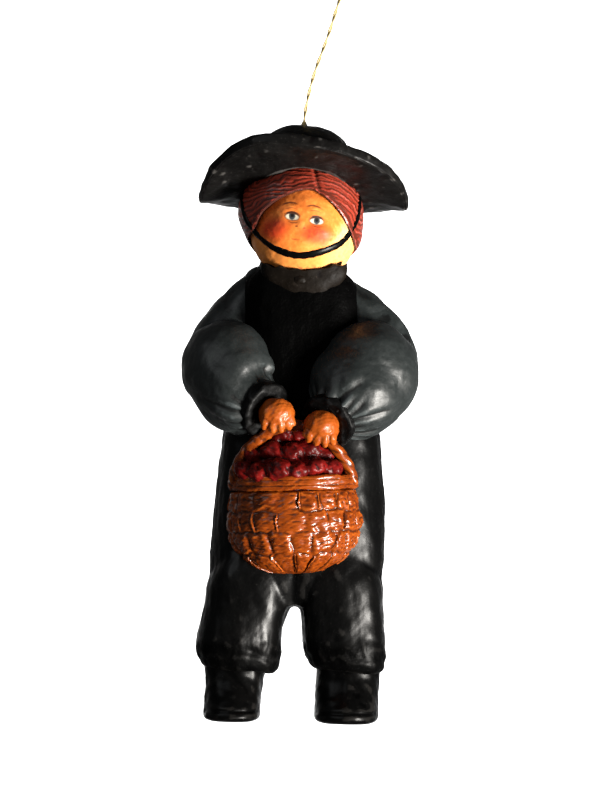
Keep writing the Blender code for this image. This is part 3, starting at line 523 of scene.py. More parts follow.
def make_paints(settings):
    """All the finishes, by name."""
    black, hat, slate = (tuple(getattr(settings, key)) for key in ("black", "hat", "slate"))
    paints = {
        "black": aged_paint("black_paint", black, (0.0004, 0.0004, 0.0004), (0.038, 0.036, 0.034), 0.34, specks=0.25,
                            mottle=0.02, wear=0.20, depth=0.12, coat=0.26, shine=0.02, satin=0.31, matte_and_shade_above=56),
        "cuff": aged_paint("cuff_paint", black, (0.001, 0.001, 0.001), (0.060, 0.060, 0.062), 0.50, specks=0.3,
                           mottle=0.02, wear=0.1, depth=0.06, coat=0.0, shine=0.08),
        "boot": aged_paint("boot_paint", black, (0.0004, 0.0004, 0.0004), (0.030, 0.028, 0.026), 0.30, specks=0.25,
                           mottle=0.015, wear=0.20, depth=0.06, coat=0.13, shine=0.02, satin=0.28),
        "hat": aged_paint("hat_paint", hat, (0.002, 0.0015, 0.0015), (0.090, 0.085, 0.080), 0.42, specks=0.45,
                          mottle=0.03, wear=0.45, depth=0.06, coat=0.07, shine=0.08),
        "slate": aged_paint("slate_paint", slate, (0.003, 0.0035, 0.0035), (0.085, 0.100, 0.103), 0.45, specks=0.2,
                            mottle=0.05, wear=0.30, depth=0.05, coat=0.06, shine=0.34, satin=0.38),
        "sleeve": aged_paint("sleeve_paint", tinted(slate, 1.05), (0.003, 0.0035, 0.0035),
                             (0.070, 0.078, 0.080), 0.42, specks=0.3, mottle=0.06, wear=0.12, depth=0.06),
        "collar": aged_paint("collar_paint", (0.0042, 0.0030, 0.0021), (0.002, 0.001, 0.0008), (0.045, 0.034, 0.026),
                             0.50, specks=0.35, mottle=0.05, wear=0.25, depth=0.05, coat=0.0, shine=0.06),
    }
    makers = (
        ("hair", hair_paint, "hair"), ("face", face_paint, "skin"), ("hand", hand_paint, "skin"),
        ("basket", basket_paint, "basket"), ("apple", apple_paint, "apple"), ("thread", thread_metal, "thread"),
    )
    for name, make, key in makers:
        paints[name] = make(tuple(getattr(settings, key)))
    return paints


def hair_paint(colour):
    """Red-brown on the ridges, dark brown in the grooves, lighter towards the right with painted pinkish highlights on
    its ridges there, and painted shade in dark brown along the face.
    """
    paint = Paint("hair_paint", coat=0.35, shine=0.25)
    fine = paint.noise(0.45, 4)
    broad = paint.noise(3.0, 3)
    edge = paint.stored("edge")
    # Painted light: the hair is made lighter towards the right and the front, where the light falls
    right = paint.between(paint.x + (broad - 0.5) * 4, 3.5, 8.5) * paint.between(paint.y, 4.0, -2.0)
    base = paint.colour(paint.between(broad, 0.35, 0.65), colour, tinted(colour, 1.7))
    base = paint.colour(right, base, tinted(colour, 1.25))
    ridge = paint.between(paint.relief + (fine - 0.5) * 0.7, -0.45, 0.15)
    shade = paint.colour(ridge, (0.085, 0.014, 0.007), base)
    # Painted highlights: pinkish light on the ridges, strongest towards the right
    light = paint.between(paint.relief + (fine - 0.5) * 1.1, 0.30, 0.85) * (right * 0.60 + 0.22)
    shade = paint.colour(light, shade, (0.46, 0.13, 0.105))
    # Painted shade: dark brown on the hair where it meets the face
    shade = paint.colour(paint.between(edge + (fine - 0.5) * 0.2, 0.05, 0.35), shade, (0.040, 0.010, 0.006))
    gloss = 0.38 + (fine - 0.5) * 0.25 - right * 0.10 + edge * 0.5
    return paint.finish(shade, gloss, (1 - edge) * 0.3, fine, 0.06)


def skin_tone(paint, colour):
    """Golden skin that is browner in the hollows and creamier where it is worn, with its roughness."""
    broad, fine = paint.noise(3.2, 4), paint.noise(0.7, 4)
    deep, light = tinted(colour, 0.62, 0.48, 0.34), tinted(colour, 1.05, 1.45, 1.9)
    shade = paint.colour(paint.between(broad * 0.7 + fine * 0.3, 0.60, 0.36) * 0.65, colour, deep)
    shade = paint.colour(paint.between(broad * 0.5 + fine * 0.5, 0.52, 0.68) * 0.55, shade, light)
    shade = paint.colour(paint.between(paint.relief + (fine - 0.5) * 0.3, -0.40, -1.0), shade, (0.20, 0.055, 0.018))
    shade = paint.colour(paint.between(paint.relief + (fine - 0.5) * 0.4, 0.25, 0.8) * 0.5, shade, light)
    return shade, 0.40 + (fine - 0.5) * 0.2, fine


def hand_paint(colour):
    paint = Paint("hand_paint", coat=0.14, shine=0.15)
    shade, gloss, fine = skin_tone(paint, tinted(colour, 0.36, 0.28, 0.17))
    return paint.finish(shade, gloss, None, fine, 0.08)


def face_paint(colour):
    """The face, painted with a fine brush: blushed cheeks, brows, eyes, nostrils and a small mouth."""
    paint = Paint("face_paint", coat=0.02, shine=0.14)
    shade, gloss, fine = skin_tone(paint, colour)
    wobble = (paint.noise(0.8, 2) - 0.5) * 0.22
    x, z = paint.x + wobble, paint.z - wobble
    brown, white, black = (0.13, 0.038, 0.014), (0.74, 0.66, 0.50), (0.010, 0.008, 0.008)
    # Painted highlight: a cream patch on the right cheek and jaw, where the light falls
    pale = paint.between(x * 0.9 - z * 0.5 + fine * 3, -40.2, -36.4) * paint.between(z, 98.5, 95.5)
    shade = paint.colour(pale * 0.70, shade, (0.95, 0.74, 0.36))
    freckles = paint.between(paint.noise(0.42, 2), 0.66, 0.72) * paint.between(paint.noise(2.6, 3), 0.40, 0.60)
    shade = paint.colour(freckles * 0.55, shade, (0.20, 0.055, 0.015))
    chin = paint.between(z - (x - 0.3) ** 2 * 0.045, 90.2, 88.6)
    shade = paint.colour(chin * (fine * 0.9 + 0.25), shade, (0.74, 0.27, 0.060))
    edge = paint.between(z + (fine - 0.5) * 3.0, 87.6, 86.2)
    shade = paint.colour(edge * 0.8, shade, (0.17, 0.06, 0.03))
    for middle, radii in (((-5.1, 94.3), (2.6, 2.1)), ((2.9, 93.5), (2.9, 1.7))):
        blush = paint.spot(x, z, middle, radii, 0.6) * (fine * 0.9 + 0.48)
        shade = paint.colour(blush, shade, (0.55, 0.048, 0.014))
    brows = (
        (0.9, (-2.1, 98.8), 1.9, 0.55, 0.19, 0.1), (0.9, (2.6, 98.2), 1.9, 0.60, 0.19, -0.25),
        (0.6, (2.7, 97.45), 1.5, 0.45, 0.11, -0.15), (0.55, (-1.9, 97.95), 1.4, 0.40, 0.10, 0.0),
    )
    for share, *brush in brows:
        shade = paint.colour(paint.stroke(x, z, *brush) * share, shade, brown)
    tilt = -0.10
    for right, up in ((-1.6, 96.75), (3.1, 96.0)):
        shade = paint.colour(paint.spot(x, z, (right, up), (1.50, 0.86), 0.2, tilt) * 0.85, shade, (0.12, 0.045, 0.02))
        shade = paint.colour(paint.spot(x, z, (right, up - 0.15), (1.22, 0.56), 0.2, tilt), shade, white)
        shade = paint.colour(paint.spot(x, z, (right, up), (0.62, 0.72), 0.2), shade, (0.055, 0.06, 0.065))
        shade = paint.colour(paint.spot(x, z, (right, up + 0.15), (0.36, 0.42), 0.3), shade, black)
        lid = paint.stroke(x, z, (right, up + 0.12), 1.6, 0.60, 0.27, tilt)
        under = paint.stroke(x, z, (right + 0.2, up - 0.95), 1.2, -0.30, 0.12, tilt) * 0.7
        shade = paint.colour(lid, shade, (0.05, 0.018, 0.010))
        shade = paint.colour(under, shade, (0.10, 0.028, 0.012))
    for middle in ((-0.75, 94.85), (0.75, 94.5)):
        shade = paint.colour(paint.spot(x, z, middle, (0.26, 0.16), 0.4) * 0.85, shade, brown)
    shade = paint.colour(paint.stroke(x, z, (-0.9, 92.5), 1.1, -0.22, 0.13, -0.15) * 0.55, shade, (0.26, 0.040, 0.018))
    return paint.finish(shade, gloss + 0.08, None, fine, 0.05)


def basket_paint(colour):
    """Glossy amber varnish over the carved weave, dark brown where it has settled."""
    paint = Paint("basket_paint", coat=0.45, shine=0.08, satin=0.24)
    fine = paint.noise(0.55, 4, (1, 1, 2.2))
    broad = paint.noise(4.5, 3)
    deep, light = tinted(colour, 0.42, 0.30, 0.22), tinted(colour, 1.7, 2.2, 3.0)
    shade = paint.colour(paint.between(broad * 0.6 + fine * 0.4, 0.60, 0.34) * 0.8, colour, deep)
    shade = paint.colour(paint.between(paint.relief + (fine - 0.5) * 0.25, -0.12, -0.70), shade, (0.055, 0.012, 0.003))
    shade = paint.colour(paint.between(paint.relief + (fine - 0.5) * 0.6, 0.25, 0.8) * 0.5, shade, light)
    return paint.finish(shade, 0.30 + (fine - 0.5) * 0.25, None, fine, 0.022)


def apple_paint(colour):
    paint = Paint("apple_paint", coat=0.03, shine=0.09)
    fine, broad = paint.noise(0.6, 4), paint.noise(2.4, 3)
    shade = paint.colour(paint.between(broad, 0.60, 0.38), colour, tinted(colour, 0.4))
    shade = paint.colour(paint.between(paint.relief + (fine - 0.5) * 0.2, -0.20, -0.80), shade, (0.022, 0.002, 0.002))
    shade = paint.colour(paint.between(fine * 0.6 + broad * 0.4, 0.58, 0.70) * 0.2, shade, (0.40, 0.07, 0.05))
    return paint.finish(shade, 0.40 + (fine - 0.5) * 0.3, None, fine, 0.02)


def thread_metal(colour):
    """A metallic strand, with the fine slant of its own fibres."""
    paint = Paint("gold_thread", roughness=0.50, metallic=0.1)
    stripe = (paint.stored("fibre") * 2 * math.pi).math("SINE") * 0.5 + 0.5
    shade = paint.colour(stripe, tinted(colour, 0.62), colour)
    return paint.finish(shade, None, None, stripe, 0.04)


# Shapes, in millimetres

ELBOW = {"left": np.array((-14.4, 1.6, 67.0)), "right": np.array((15.0, 1.4, 66.4))}
SHOULDER = {"left": np.array((-6.9, 1.8, 83.2)), "right": np.array((7.6, 1.2, 81.6))}
SLEEVE_BOW = {"left": 1.1, "right": 2.6}
PUFF = {"left": np.array((-13.3, -4.9, 67.6)), "right": np.array((13.5, -4.9, 67.0))}
PUFF_RADIUS = {"left": 9.0, "right": 9.9}
HAND = {"left": np.array((-3.8, -14.6, 58.7)), "right": np.array((4.8, -14.6, 56.5))}
WRIST = {"left": HAND["left"] + (-2.5, 2.5, 1.4), "right": HAND["right"] + (1.5, 2.42, 1.6)}
CUFF_RADIUS = 5.4
HAIR_MIDDLE = np.array((0.0, 0.0, 97.3))
HAIR_RADII = np.array((12.0, 11.4, 11.0))
FACE_MIDDLE = np.array((0.7, -0.6, 94.7))
FACE_RADII = np.array((10.3, 10.4, 11.0))
BASKET = np.array((0.45, -6.3, 28.4))
BASKET_LEAN = math.radians(2.5)
BASKET_WIDE, BASKET_DEEP, BASKET_TALL, RIM_TALL, BLOCK_THICK = 13.4, 11.2, 16.0, 3.0, 0.9
HANDLE_TALL, HANDLE_RADIUS = 11.0, 1.08
CROWN_FOOT, CROWN_RADIUS, CROWN_TALL = np.array((0.3, 0.6, 99.1)), 9.6, 15.4

# The brim: reaches from the crown's foot to the sides, front and back, its highest edge, and half its thickness
BRIM_REACH = {"left": 20.0, "right": 20.3}
BRIM_FRONT, BRIM_BACK, BRIM_HIGH, BRIM_THICK = 16.0, 15.0, 12.6, 1.1

# Outline of the face in the hair and route of the chin strap, as X and Z
FACE_OUTLINE = np.array((
    (1.5, 101.8), (5.0, 100.0), (7.8, 96.9), (9.2, 93.6), (9.9, 90.6), (11.0, 86.5), (0.0, 82.0), (-11.5, 87.0),
    (-10.6, 92.0), (-8.8, 94.5), (-6.8, 97.8), (-3.2, 100.4),
))
STRAP_ROUTE = (
    (-11.4, 101.4), (-11.0, 97.6), (-9.6, 94.7), (-7.3, 92.5), (-5.1, 90.8), (-2.8, 89.8), (-0.1, 89.3), (2.6, 89.7),
    (5.0, 90.5), (7.2, 91.5), (8.8, 93.0), (10.1, 95.0), (11.0, 97.2), (11.3, 100.8),
)


def leg_rows(sign):
    """Rows of one breeches leg: middle, half width and reaches in Y, from the gathered knee up into the tunic."""
    left = (
        (-9.9, 9.6, 6.3, 7.0), (-10.0, 10.2, 7.2, 7.7), (-10.1, 11.6, 7.9, 8.4), (-10.25, 14.4, 8.2, 8.8),
        (-9.7, 18.5, 8.0, 9.0), (-8.5, 22.8, 8.3, 9.1), (-8.1, 27.0, 8.2, 9.2), (-7.5, 32.0, 6.8, 8.4),
    )
    right = (
        (11.0, 9.9, 6.2, 7.0), (10.8, 10.6, 7.1, 7.7), (10.5, 12.0, 7.7, 8.4), (10.15, 14.4, 8.1, 8.8),
        (9.7, 18.5, 8.1, 9.0), (9.3, 22.8, 8.2, 9.1), (8.9, 27.0, 8.3, 9.2), (8.1, 32.0, 6.8, 8.4),
    )
    return [(x, 0, z, width, depth, depth * 0.96) for x, z, width, depth in (left if sign < 0 else right)]


TUNIC_ROWS = (
    (0.1, 0, 22.0, 8.4, 5.6, 5.6), (0.2, 0, 25.5, 15.6, 7.7, 8.1), (0.65, 0, 29.5, 16.7, 8.7, 9.0),
    (0.9, 0, 37.0, 16.6, 9.1, 9.1), (1.0, 0, 45.0, 16.25, 8.9, 8.9), (1.1, 0, 54.0, 15.4, 8.7, 8.7),
    (0.6, 0, 64.0, 13.4, 8.6, 8.6), (0.7, 0, 74.5, 11.9, 8.6, 8.6), (0.35, 0, 83.5, 10.9, 7.3, 7.3),
    (0.2, 0, 86.8, 8.3, 6.5, 6.5), (0.1, 0, 88.7, 7.6, 6.2, 6.2),
)


def suit_height(points):
    """The tunic's and breeches' carved relief: gathers above the boots, strokes of the knife and a soft swell."""
    x, y, z = points.T
    height = waves(points * (1, 1, 0.45), 7.0, 3) * 0.16 + waves(points * (1, 1, 0.6), 2.2, 4) * 0.055
    height += waves(points, 0.9, 5) * 0.018
    for here, middle in ((x < 0, -10.3), (x >= 0, 10.0)):
        turn = np.arctan2(y, x - middle)
        gathers = np.abs(np.sin(turn * 9 + waves(points, 5.0, 11) * 1.6 + z * 0.12)) ** 0.7 - 0.6
        height += here * gathers * 0.13 * bell(z, 13.0, 2.8)
        tucks = np.sin(z * 2.0 + turn * 2.5 + waves(points, 4.0, 12) * 1.5)
        height += here * tucks * 0.12 * bell(z, 13.5, 2.5)
    front = ease(-y, 2.0, 6.0)
    height -= front * 0.55 * bell(x - 0.4, 0.0, 1.3) * ease(z, 20.0, 23.0) * (1 - ease(z, 27.0, 31.0))
    return height


def suit_shape():
    shapes = [slab_column(TUNIC_ROWS, 5, 96)]
    for sign in SIDES.values():
        points, faces = slab_column(leg_rows(sign), 5, 72)
        points[:, 2] -= 0.07 * (points[:, 0] - sign * 10.2) * (1 - ease(points[:, 2], 10.0, 17.0))
        shapes.append((points, faces))
    mesh = fused("suit", shapes, 0.42, 3)
    return carve(mesh, suit_height)


def boot_shape(side):
    middle, width, flare, lean = {"left": (-11.35, 5.45, 0.5, 0.055), "right": (10.65, 6.1, 0.0, 0.030)}[side]
    rows = (
        (0.0, width - 1.3, 9.5, 5.4), (0.35, width - 0.35, 10.4, 6.3), (1.0, width, 10.8, 6.6),
        (2.4, width, 10.4, 6.6), (4.2, width, 9.2, 6.7), (6.2, width, 7.9, 6.8), (8.4, width + flare * 0.5, 7.1, 6.8),
        (10.6, width + flare, 6.9, 6.8), (13.0, width * 0.9, 6.2, 6.1),
    )
    slabs = [(middle + z * lean, 0, z, wide, front, back) for z, wide, front, back in rows]
    mesh = mesh_from(f"{side}_boot", slab_column(slabs, 7, 88))

    def height(points):
        z = points[:, 2]
        swell = swells(points, (5.0, 21, 0.10), (1.6, 22, 0.05), (0.7, 23, 0.018))
        return swell * ease(z, 0.0, 1.5) - 0.22 * bell(z, 2.1, 0.35) * ease(-points[:, 1], 3.0, 7.0)

    return carve(mesh, height)


def collar_shapes():
    """The low collar, with an uneven upper edge under the chin, and its button."""
    points, faces = ball((0.9, -5.4, 87.0), (8.3, 2.9, 6.7), 64, 120)
    edge = 86.4 + 0.022 * (points[:, 0] - 0.5) ** 2 + waves(points * (1, 0, 0), 2.6, 34) * 0.28
    points[:, 2] = np.minimum(points[:, 2], edge + (points[:, 2] - edge) * 0.04)
    points[:, 0] = 0.9 + (points[:, 0] - 0.9) * (1 - 0.16 * ease(86.0 - points[:, 2], 0.0, 4.0))
    collar = mesh_from("collar", (points, faces))

    def height(points):
        x, _, z = points.T
        fold = np.sin((z - 0.045 * (x - 0.9) ** 2 - 80.0) * 2.1)
        return swells(points, (3.0, 31, 0.06), (0.9, 32, 0.015)) + fold * 0.02

    button = mesh_from("collar_button", ball((0.15, -7.9, 84.7), (1.2, 0.55, 0.9), 20, 32))
    return carve(collar, height), carve(button, lambda points: waves(points, 0.9, 33) * 0.05)


def creases(turn, share, seed, count, deep, reach):
    """Soft folds that run up the sleeve from the cuff at 1, each with its own place, length, slant and depth."""
    rng = np.random.default_rng(seed)
    height = np.zeros(len(turn))
    for index in range(count):
        place = 2 * np.pi * (index + rng.uniform(-0.35, 0.35)) / count
        start = 0.95 - reach * rng.uniform(0.4, 1.0)
        slant = rng.uniform(-0.9, 0.9)
        width = rng.uniform(0.07, 0.16)
        away = np.angle(np.exp(1j * (turn - place - slant * (0.93 - share))))
        growth = ease(share, start, 0.92)
        strength = deep * rng.uniform(0.4, 1.0)
        height -= strength * growth * np.exp(-((away / width) ** 2))
        height += strength * 0.5 * growth * np.exp(-(((np.abs(away) - 2.2 * width) / (1.6 * width)) ** 2))
    return height


def sleeve_shape(side):
    """The upper sleeve, from the armhole's seam to the elbow."""
    sign = SIDES[side]
    shoulder, elbow = SHOULDER[side], ELBOW[side]
    bow = np.array((sign * SLEEVE_BOW[side], 0.6, 0))
    route = (shoulder, mix(shoulder, elbow, 0.35) + bow, mix(shoulder, elbow, 0.7) + bow, elbow)
    shape = limb(route, (4.3, 6.0, 7.4, 7.9), 10, 96, 12)
    mesh = mesh_from(f"{side}_sleeve", shape)

    def height(points):
        z = points[:, 2]
        folds = np.sin(z * 1.1 + points[:, 0] * 0.55 * sign + waves(points, 7.0, 41) * 1.4)
        return waves(points, 6.0, 42) * 0.16 + folds * 0.10 + waves(points, 1.5, 43) * 0.02

    return carve(mesh, height)


def puff_shape(side):
    """The puffed lower sleeve, gathered into the cuff."""
    middle, wrist, radius = PUFF[side], WRIST[side], PUFF_RADIUS[side]
    sag, seed, deep = {"left": ((-0.7, 0, -1.0), 52, 0.34), "right": ((0.2, 0, -0.1), 57, 0.50)}[side]
    route = (middle, mix(middle, wrist, 0.36) + sag, mix(middle, wrist, 0.66) + sag, mix(middle, wrist, 0.92))
    shapes = [
        ball(middle, (radius, radius, radius * 1.02), 60, 90),
        limb(route, (radius * 0.98, radius * 0.95, radius * 0.82, CUFF_RADIUS * 0.92), 8, 80, 10, blunt=0.25),
    ]
    mesh = fused(f"{side}_puff", shapes, 0.26, 8)
    long = np.linalg.norm(wrist - middle)
    ahead = (wrist - middle) / long
    across, up = level_frame(ahead)

    def height(points):
        away = points - middle
        share = away @ ahead / long
        turn = np.arctan2(away @ up, away @ across)
        folds = creases(turn, share, seed, 13, deep, 0.6) + creases(turn, share, seed + 1, 6, deep, 1.1)
        return folds + waves(points, 6.0, seed + 2) * 0.14 + waves(points, 1.9, seed + 3) * 0.03

    return carve(mesh, height)


def cuff_shape(side):
    ahead = (HAND[side] - WRIST[side]) / np.linalg.norm(HAND[side] - WRIST[side])
    start = WRIST[side] - ahead * 0.4
    spokes = spokes_at(circle(72), *level_frame(ahead))
    profile = (
        (-0.8, 3.9), (-0.7, 5.0), (-0.3, 5.35), (0.6, 5.45), (1.2, 5.4), (1.5, 5.2), (1.7, 4.7), (1.7, 3.6), (1.5, 2.4)
    )
    rings = [start + ahead * along + spokes * reach for along, reach in spline(profile, 5)]
    mesh = mesh_from(f"{side}_cuff", skin(rings))
    return carve(mesh, lambda points: swells(points, (1.8, 61, 0.12), (0.6, 62, 0.03)))


def hand_shape(side):
    """A mitten of a hand with short carved fingers over the handle."""
    sign, hand = SIDES[side], HAND[side]
    shapes = [ball(hand + (0, 0.1, 0.3), (3.45, 3.6, 3.1), 32, 48)]
    for index in range(4):
        shift = (index - 1.5) * 1.5
        low = -2.9 + 0.30 * abs(shift) - 0.18 * index * (sign > 0)
        knuckle = hand + (shift * 0.80, -2.1 + 0.22 * abs(shift), -0.7)
        tip = hand + (shift * 1.05 - sign * 0.1, -1.75 + 0.20 * abs(shift), low)
        shapes.append(limb((knuckle, (knuckle + tip) / 2 + (0, -0.2, 0), tip), (0.9, 0.9, 0.66), 6, 24, 5))
    thumb = (hand + (-sign * 2.0, -1.2, 0.3), hand + (-sign * 2.9, -1.4, -1.3))
    shapes.append(limb(thumb, (1.1, 0.8), 6, 24, 5))
    mesh = fused(f"{side}_hand", shapes, 0.15, 3)
    return carve(mesh, lambda points: swells(points, (2.2, 71, 0.10), (0.8, 72, 0.03)))


def inside_face(x, z, soft):
    """1 inside the face's outline and 0 outside it, with an edge this soft, from the distance to its sides."""
    route = spline(np.vstack([FACE_OUTLINE[-1:], FACE_OUTLINE, FACE_OUTLINE[:2]]), 8)[8:-8]
    nearest = np.full(len(x), np.inf)
    inside = np.zeros(len(x), bool)
    for (ax, az), (bx, bz) in zip(route, np.roll(route, -1, axis=0)):
        ex, ez = bx - ax, bz - az
        share = np.clip(((x - ax) * ex + (z - az) * ez) / max(ex * ex + ez * ez, 1e-12), 0, 1)
        nearest = np.minimum(nearest, np.hypot(x - ax - share * ex, z - az - share * ez))
        crossing = (az > z) != (bz > z)
        with np.errstate(divide="ignore", invalid="ignore"):
            inside ^= crossing & (x < ex * (z - az) / (ez if ez else 1e-12) + ax)
    return ease(np.where(inside, nearest, -nearest), -soft, soft)


def strands(points):
    """Carved hair: strands that sweep from the parting round the face, and hang down at the back."""
    x, y, z = points.T
    swirl = waves(points * (0.5, 1, 1), 6.0, 81) * 0.45 + waves(points, 2.0, 82) * 0.10
    flat = mix(0.50, 0.95, ease(x, 2.0, 5.0))
    reach = np.hypot((x - mix(4.0, 1.5, ease(x, 2.0, 5.0))) * flat, z - 91.5)
    side_turn = np.arctan2(x, y + 3.0) * 11.0
    back = ease(y, -3.0, 1.0)
    total = np.zeros(len(points))
    for pitch, share in ((0.88, 0.50), (0.45, 0.65)):
        front_wave = np.abs(np.sin(np.pi * (reach + swirl) / pitch)) ** 0.8
        back_wave = np.abs(np.sin(np.pi * (side_turn + swirl) / pitch)) ** 0.8
        total += share * mix(front_wave, back_wave, back)
    parting = bell(x - 3.0 + (z - 104) * 0.25, 0.0, 0.45) * (1 - back) * ease(z, 99.0, 101.0)
    return total * 0.24 - 0.30 * parting - 0.15


def below_hat(points):
    """The points, drawn in to stay within the crown where they lie above the brim."""
    x, y = points[:, 0] - CROWN_FOOT[0], points[:, 1] - CROWN_FOOT[1]
    above = points[:, 2] > 102.1 - 0.54 * y
    room = 0.84
    reach = np.hypot(x, y) / CROWN_RADIUS
    share = np.where(above, np.minimum(1, room / np.maximum(reach, room)), 1)
    return np.column_stack([CROWN_FOOT[0] + x * share, CROWN_FOOT[1] + y * share, points[:, 2]])


def hair_shape():
    """The hair, sunk below the face inside the face's outline, with a lock at each side of the jaw."""
    points, faces = ball(HAIR_MIDDLE, HAIR_RADII, 200, 330)
    spokes = unit(points - HAIR_MIDDLE)
    x, y, z = points.T
    height = strands(points) + 0.9 * bell(z, 91.5, 3.0) * ease(x, 6.0, 9.0) * (y < 6)
    open_face = inside_face(x, z, 0.22) * ease(-y, 0.2, 1.2)
    slim = 1 - 0.05 * ease(97.5 - z, 0, 4.5) * ease(-x, 2.0, 8.0)
    points = points + spokes * (height * (1 - open_face))[:, None]
    points = below_hat(points * np.column_stack([slim, np.ones(len(x)), np.ones(len(x))]))
    points[:, 1] += 4.8 * open_face
    mesh = mesh_from("hair", (points, faces))
    # How near each point lies to the face's edge, where the hair's paint lays painted shade
    near_face = inside_face(x, z, 0.9) * ease(-y, 0.2, 1.2)
    store(mesh, "edge", near_face)
    return mesh


def face_shape():
    """The round face, nearly smooth: shallow eye hollows, a hint of a nose and full cheeks."""
    points, faces = ball(FACE_MIDDLE, FACE_RADII, 150, 220)
    spokes = (points - FACE_MIDDLE) / FACE_RADII
    x, y, z = points.T
    front = ease(-y, 3.0, 8.0)

    def dab(middle, wide, tall):
        return bell(x, middle[0], wide) * bell(z, middle[1], tall) * front

    height = 0.30 * dab((0.15, 95.0), 1.0, 1.2)
    height += 0.35 * (dab((-4.9, 94.0), 2.4, 1.9) + dab((3.8, 93.6), 2.4, 1.9))
    height -= 0.22 * (dab((-1.6, 96.9), 1.6, 1.0) + dab((3.1, 96.1), 1.6, 1.0))
    height += 0.14 * (dab((-2.0, 98.7), 1.9, 0.55) + dab((2.8, 98.1), 1.9, 0.55))
    height -= 0.10 * dab((-0.9, 92.45), 1.2, 0.25)
    height += swells(points, (3.5, 91, 0.07), (1.1, 92, 0.02))
    return mesh_from("face", (points + spokes * height[:, None], faces))


def head_surface(x, z):
    """Y of the front of the face or the hair at this X and Z."""
    found = []
    for middle, radii in ((FACE_MIDDLE, FACE_RADII), (HAIR_MIDDLE, HAIR_RADII + 0.1)):
        inside = 1 - ((x - middle[0]) / radii[0]) ** 2 - ((z - middle[2]) / radii[2]) ** 2
        found.append(middle[1] - radii[1] * math.sqrt(max(inside, 0.03)))
    return mix(found[1], found[0], float(inside_face(np.array([x]), np.array([z]), 0.6)[0]))


def strap_shape():
    """A thin flat strap, from under the brim on one side, over the cheeks and round the chin to the other."""
    route = spline(STRAP_ROUTE, 6)
    centres = np.array([(x, head_surface(x, z) + 0.10, z) for x, z in route])
    for _ in range(3):
        centres[1:-1] = (centres[:-2] + centres[1:-1] * 2 + centres[2:]) / 4
    middle = HAIR_MIDDLE * (1, 1, 0) + (0, 0, 94.5)
    ahead = unit(np.gradient(centres, axis=0))
    out = centres - middle
    out = unit(out - ahead * np.einsum("ij,ij->i", out, ahead)[:, None])
    across = np.cross(ahead, out)
    turn = circle(20)
    width = 0.50 + 0.28 * np.sin(np.linspace(0, np.pi, len(route))) + 0.05 * np.sin(np.arange(len(route)) * 1.7)
    rings = [
        centre + np.outer(np.cos(turn), side) * half + np.outer(np.sin(turn), up) * 0.34
        for centre, side, up, half in zip(centres, across, out, width)
    ]
    return mesh_from("chin_strap", skin(rings))


def brim_edge(angle):
    """The middle of the brim's edge, from the crown's foot, at an angle that is 0 at the front."""
    side = "right" if math.sin(angle) > 0 else "left"
    x = BRIM_REACH[side] * math.sin(angle)
    low = 0.9 - 0.36 * math.sin(angle)
    if math.cos(angle) <= 0:
        return np.array((x, -BRIM_BACK * math.cos(angle), low + 0.1 * math.cos(angle) ** 2))
    peak = math.radians(-18)
    turned = math.remainder(angle, 2 * math.pi) - peak
    quarter = math.pi / 2 - math.copysign(1, turned) * peak
    rise = max(math.cos(math.pi / 2 * abs(turned) / quarter), 0)
    steepness = 0.92 if turned > 0 else 1.35
    return np.array((x, -BRIM_FRONT * math.cos(angle), low + (BRIM_HIGH - low) * rise**steepness))


def hat_shape():
    """Brim and crown in one skin: from under the crown out to the edge, round it, and back over the crown."""
    around = 300
    angles = circle(around)
    seats = np.column_stack([
        CROWN_RADIUS * np.sin(angles), -CROWN_RADIUS * np.cos(angles), 3.0 + 5.2 * np.cos(angles)
    ])
    edges = np.array([brim_edge(angle) for angle in angles])
    for _ in range(6):
        edges = (np.roll(edges, 1, axis=0) + edges * 2 + np.roll(edges, -1, axis=0)) / 4
    lean = unit(np.column_stack([np.zeros(around), 0.35 * np.maximum(np.cos(angles), 0), np.ones(around)]))

    def row(share, thick):
        flat = mix(seats, edges, share)
        flat[:, 2] = mix(seats[:, 2], edges[:, 2], share**1.25)
        return CROWN_FOOT + flat + lean * BRIM_THICK * thick

    def brim(way, flat_end, edge):
        knots = [(0.0, 1.3), (0.28, 1.1), (0.55, 1.0), (flat_end, 1.0)]
        return [row(share, way * thick) for share, thick in (*spline(knots, 9), *spline(edge, 4))]

    under = brim(-1, 0.82, (
        (0.84, 1.0), (0.90, 0.98), (0.935, 0.96), (0.952, 0.84), (0.966, 0.94), (0.985, 0.80), (1.0, 0.2)
    ))
    over = brim(1, 0.80, ((0.84, 1.0), (0.93, 0.95), (0.975, 0.85), (0.995, 0.55), (1.0, 0.1)))
    inner = [
        CROWN_FOOT + seats * (size, size, 1.0) - lean * 1.43 for size in (0.60, 0.70, 0.78, 0.85, 0.90, 0.94, 0.97)
    ]
    profile = (
        (0.10, 0.975), (0.25, 0.97), (0.45, 0.94), (0.65, 0.87), (0.82, 0.72), (0.93, 0.50), (0.985, 0.26), (1.0, 0.06)
    )
    crown = [
        CROWN_FOOT + np.column_stack([seats[:, :2] * size, mix(seats[:, 2] + BRIM_THICK, CROWN_TALL, rise)])
        for rise, size in spline(profile, 7)
    ]
    mesh = mesh_from("hat", skin(inner + under + over[::-1] + crown))

    def height(points):
        x, y, z = points.T
        swell = swells(points, (7.0, 101, 0.15), (2.4, 102, 0.06), (0.9, 103, 0.018))
        from_hole = np.hypot(x - CROWN_TOP[0], y - CROWN_TOP[1])
        return swell * ease(from_hole, 1.2, 3.0) - 0.9 * (1 - ease(from_hole, 0.55, 0.95)) * (z > 112)

    return carve(mesh, height)


def basket_place(points):
    """Points given from the middle of the basket's bottom, with the basket's lean."""
    points = np.asarray(points, float)
    cos, sin = math.cos(BASKET_LEAN), math.sin(BASKET_LEAN)
    return BASKET + points @ np.array(((cos, 0, -sin), (0, 1, 0), (sin, 0, cos))).T


